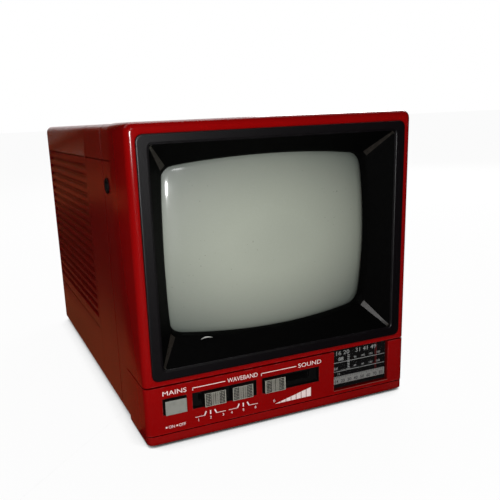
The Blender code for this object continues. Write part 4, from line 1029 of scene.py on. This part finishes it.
def flags():
    """Dark cards that only reflections see, as a photographer sets them round a glossy subject."""
    dark = card_glow("dark_card", (0.012, 0.004, 0.003))
    brown = card_glow("brown_card", (0.18, 0.048, 0.018))
    near, far, left, right, top = -2.5, 1.6, -2.0, 2.0, 1.6
    low, front, wall, strip = 0.0006, -0.1, -0.06, -0.105
    brown_left, brown_right, brown_near, open_right = -0.34, -0.09, 0.85, 1.0

    def upright(x0, y0, x1, y1):
        return [(x0, y0, low), (x1, y1, low), (x1, y1, top), (x0, y0, top)]

    def lying(x0, y0, x1, y1, z):
        return [(x0, y0, z), (x1, y0, z), (x1, y1, z), (x0, y1, z)]

    cards = {
        "flag_front": upright(left, near, right, near),
        "flag_left": upright(left, near, left, far),
        "flag_right": upright(right, near, right, far),
        "flag_back_left": upright(left, far, brown_left, far),
        "brown_back_left": upright(brown_left, far, brown_right, far),
        "flag_back_right": upright(open_right, far, right, far),
        "flag_ground_front": lying(left, near, right, front, low),
        "flag_ground_left": lying(left, front, strip, brown_near, low),
        "brown_ground_strip": lying(strip, front, wall, brown_near, low),
        "brown_ground_back": lying(left, brown_near, wall, far, low),
        "flag_ground_right": lying(wall, front, right, far, low),
        "flag_top": lying(left, near, right, -front, top),
    }
    for name, corners in cards.items():
        card = plain_sheet(name, corners, brown if name.startswith("brown") else dark)
        card.visible_camera = False
        card.visible_diffuse = False
        card.visible_transmission = False
        card.visible_shadow = False
        card.visible_volume_scatter = False


def lamp(name, place, aim, size, power, mirrored=True):
    """A round soft lamp, which may stay out of reflections like a cross-polarised one."""
    data = bpy.data.lights.new(name, "AREA")
    data.shape = "DISK"
    data.size = size
    data.energy = power
    light = bpy.data.objects.new(name, data)
    light.location = place
    light.rotation_euler = (Vector(aim) - Vector(place)).to_track_quat("-Z", "Y").to_euler()
    light.visible_glossy = mirrored
    bpy.context.scene.collection.objects.link(light)


def lights():
    lamp("key", (-0.16, -0.40, 0.165), (0.0, -0.1, 0.085), 0.03, 0.62)
    lamp("high_front", (-0.09, -0.52, 0.34), (0.0, -0.1, 0.07), 0.1, 0.2)
    lamp("low_front", (-0.12, -0.5, 0.04), (0.0, -0.12, 0.03), 0.1, 0.4, mirrored=False)
    lamp("overhead", (0.15, 0.5, 1.1), (0.0, 0.1, 0.0), 0.8, 5.0)
    lamp("rear_fill", (0.9, 0.9, 0.7), (0.0, 0.0, 0.08), 0.7, 12.0)


def camera():
    """The photograph's view point, lens and framing."""
    data = bpy.data.cameras.new("camera")
    data.lens = 44.675
    data.sensor_width = 36.0
    data.shift_x = 0.0773
    data.shift_y = 0.0625
    data.clip_start = 0.01
    view = bpy.data.objects.new("camera", data)
    view.location = (-0.1404, -0.3757, 0.1482)
    view.rotation_euler = [math.radians(a) for a in (75.461, 2.541, -22.308)]
    bpy.context.scene.collection.objects.link(view)
    bpy.context.scene.camera = view


dress_solids()
surround_scratch(screen_surround())
tube_glass()
front_knobs()
panel_marks()
dial_marks()
front_linings()
earphone_collar()
tuning_thumbwheel()
rear_knobs()
knob_scales()
antenna_trim()
floor()
flags()
world()
lights()
camera()
bpy.context.scene.view_settings.view_transform = "Standard"
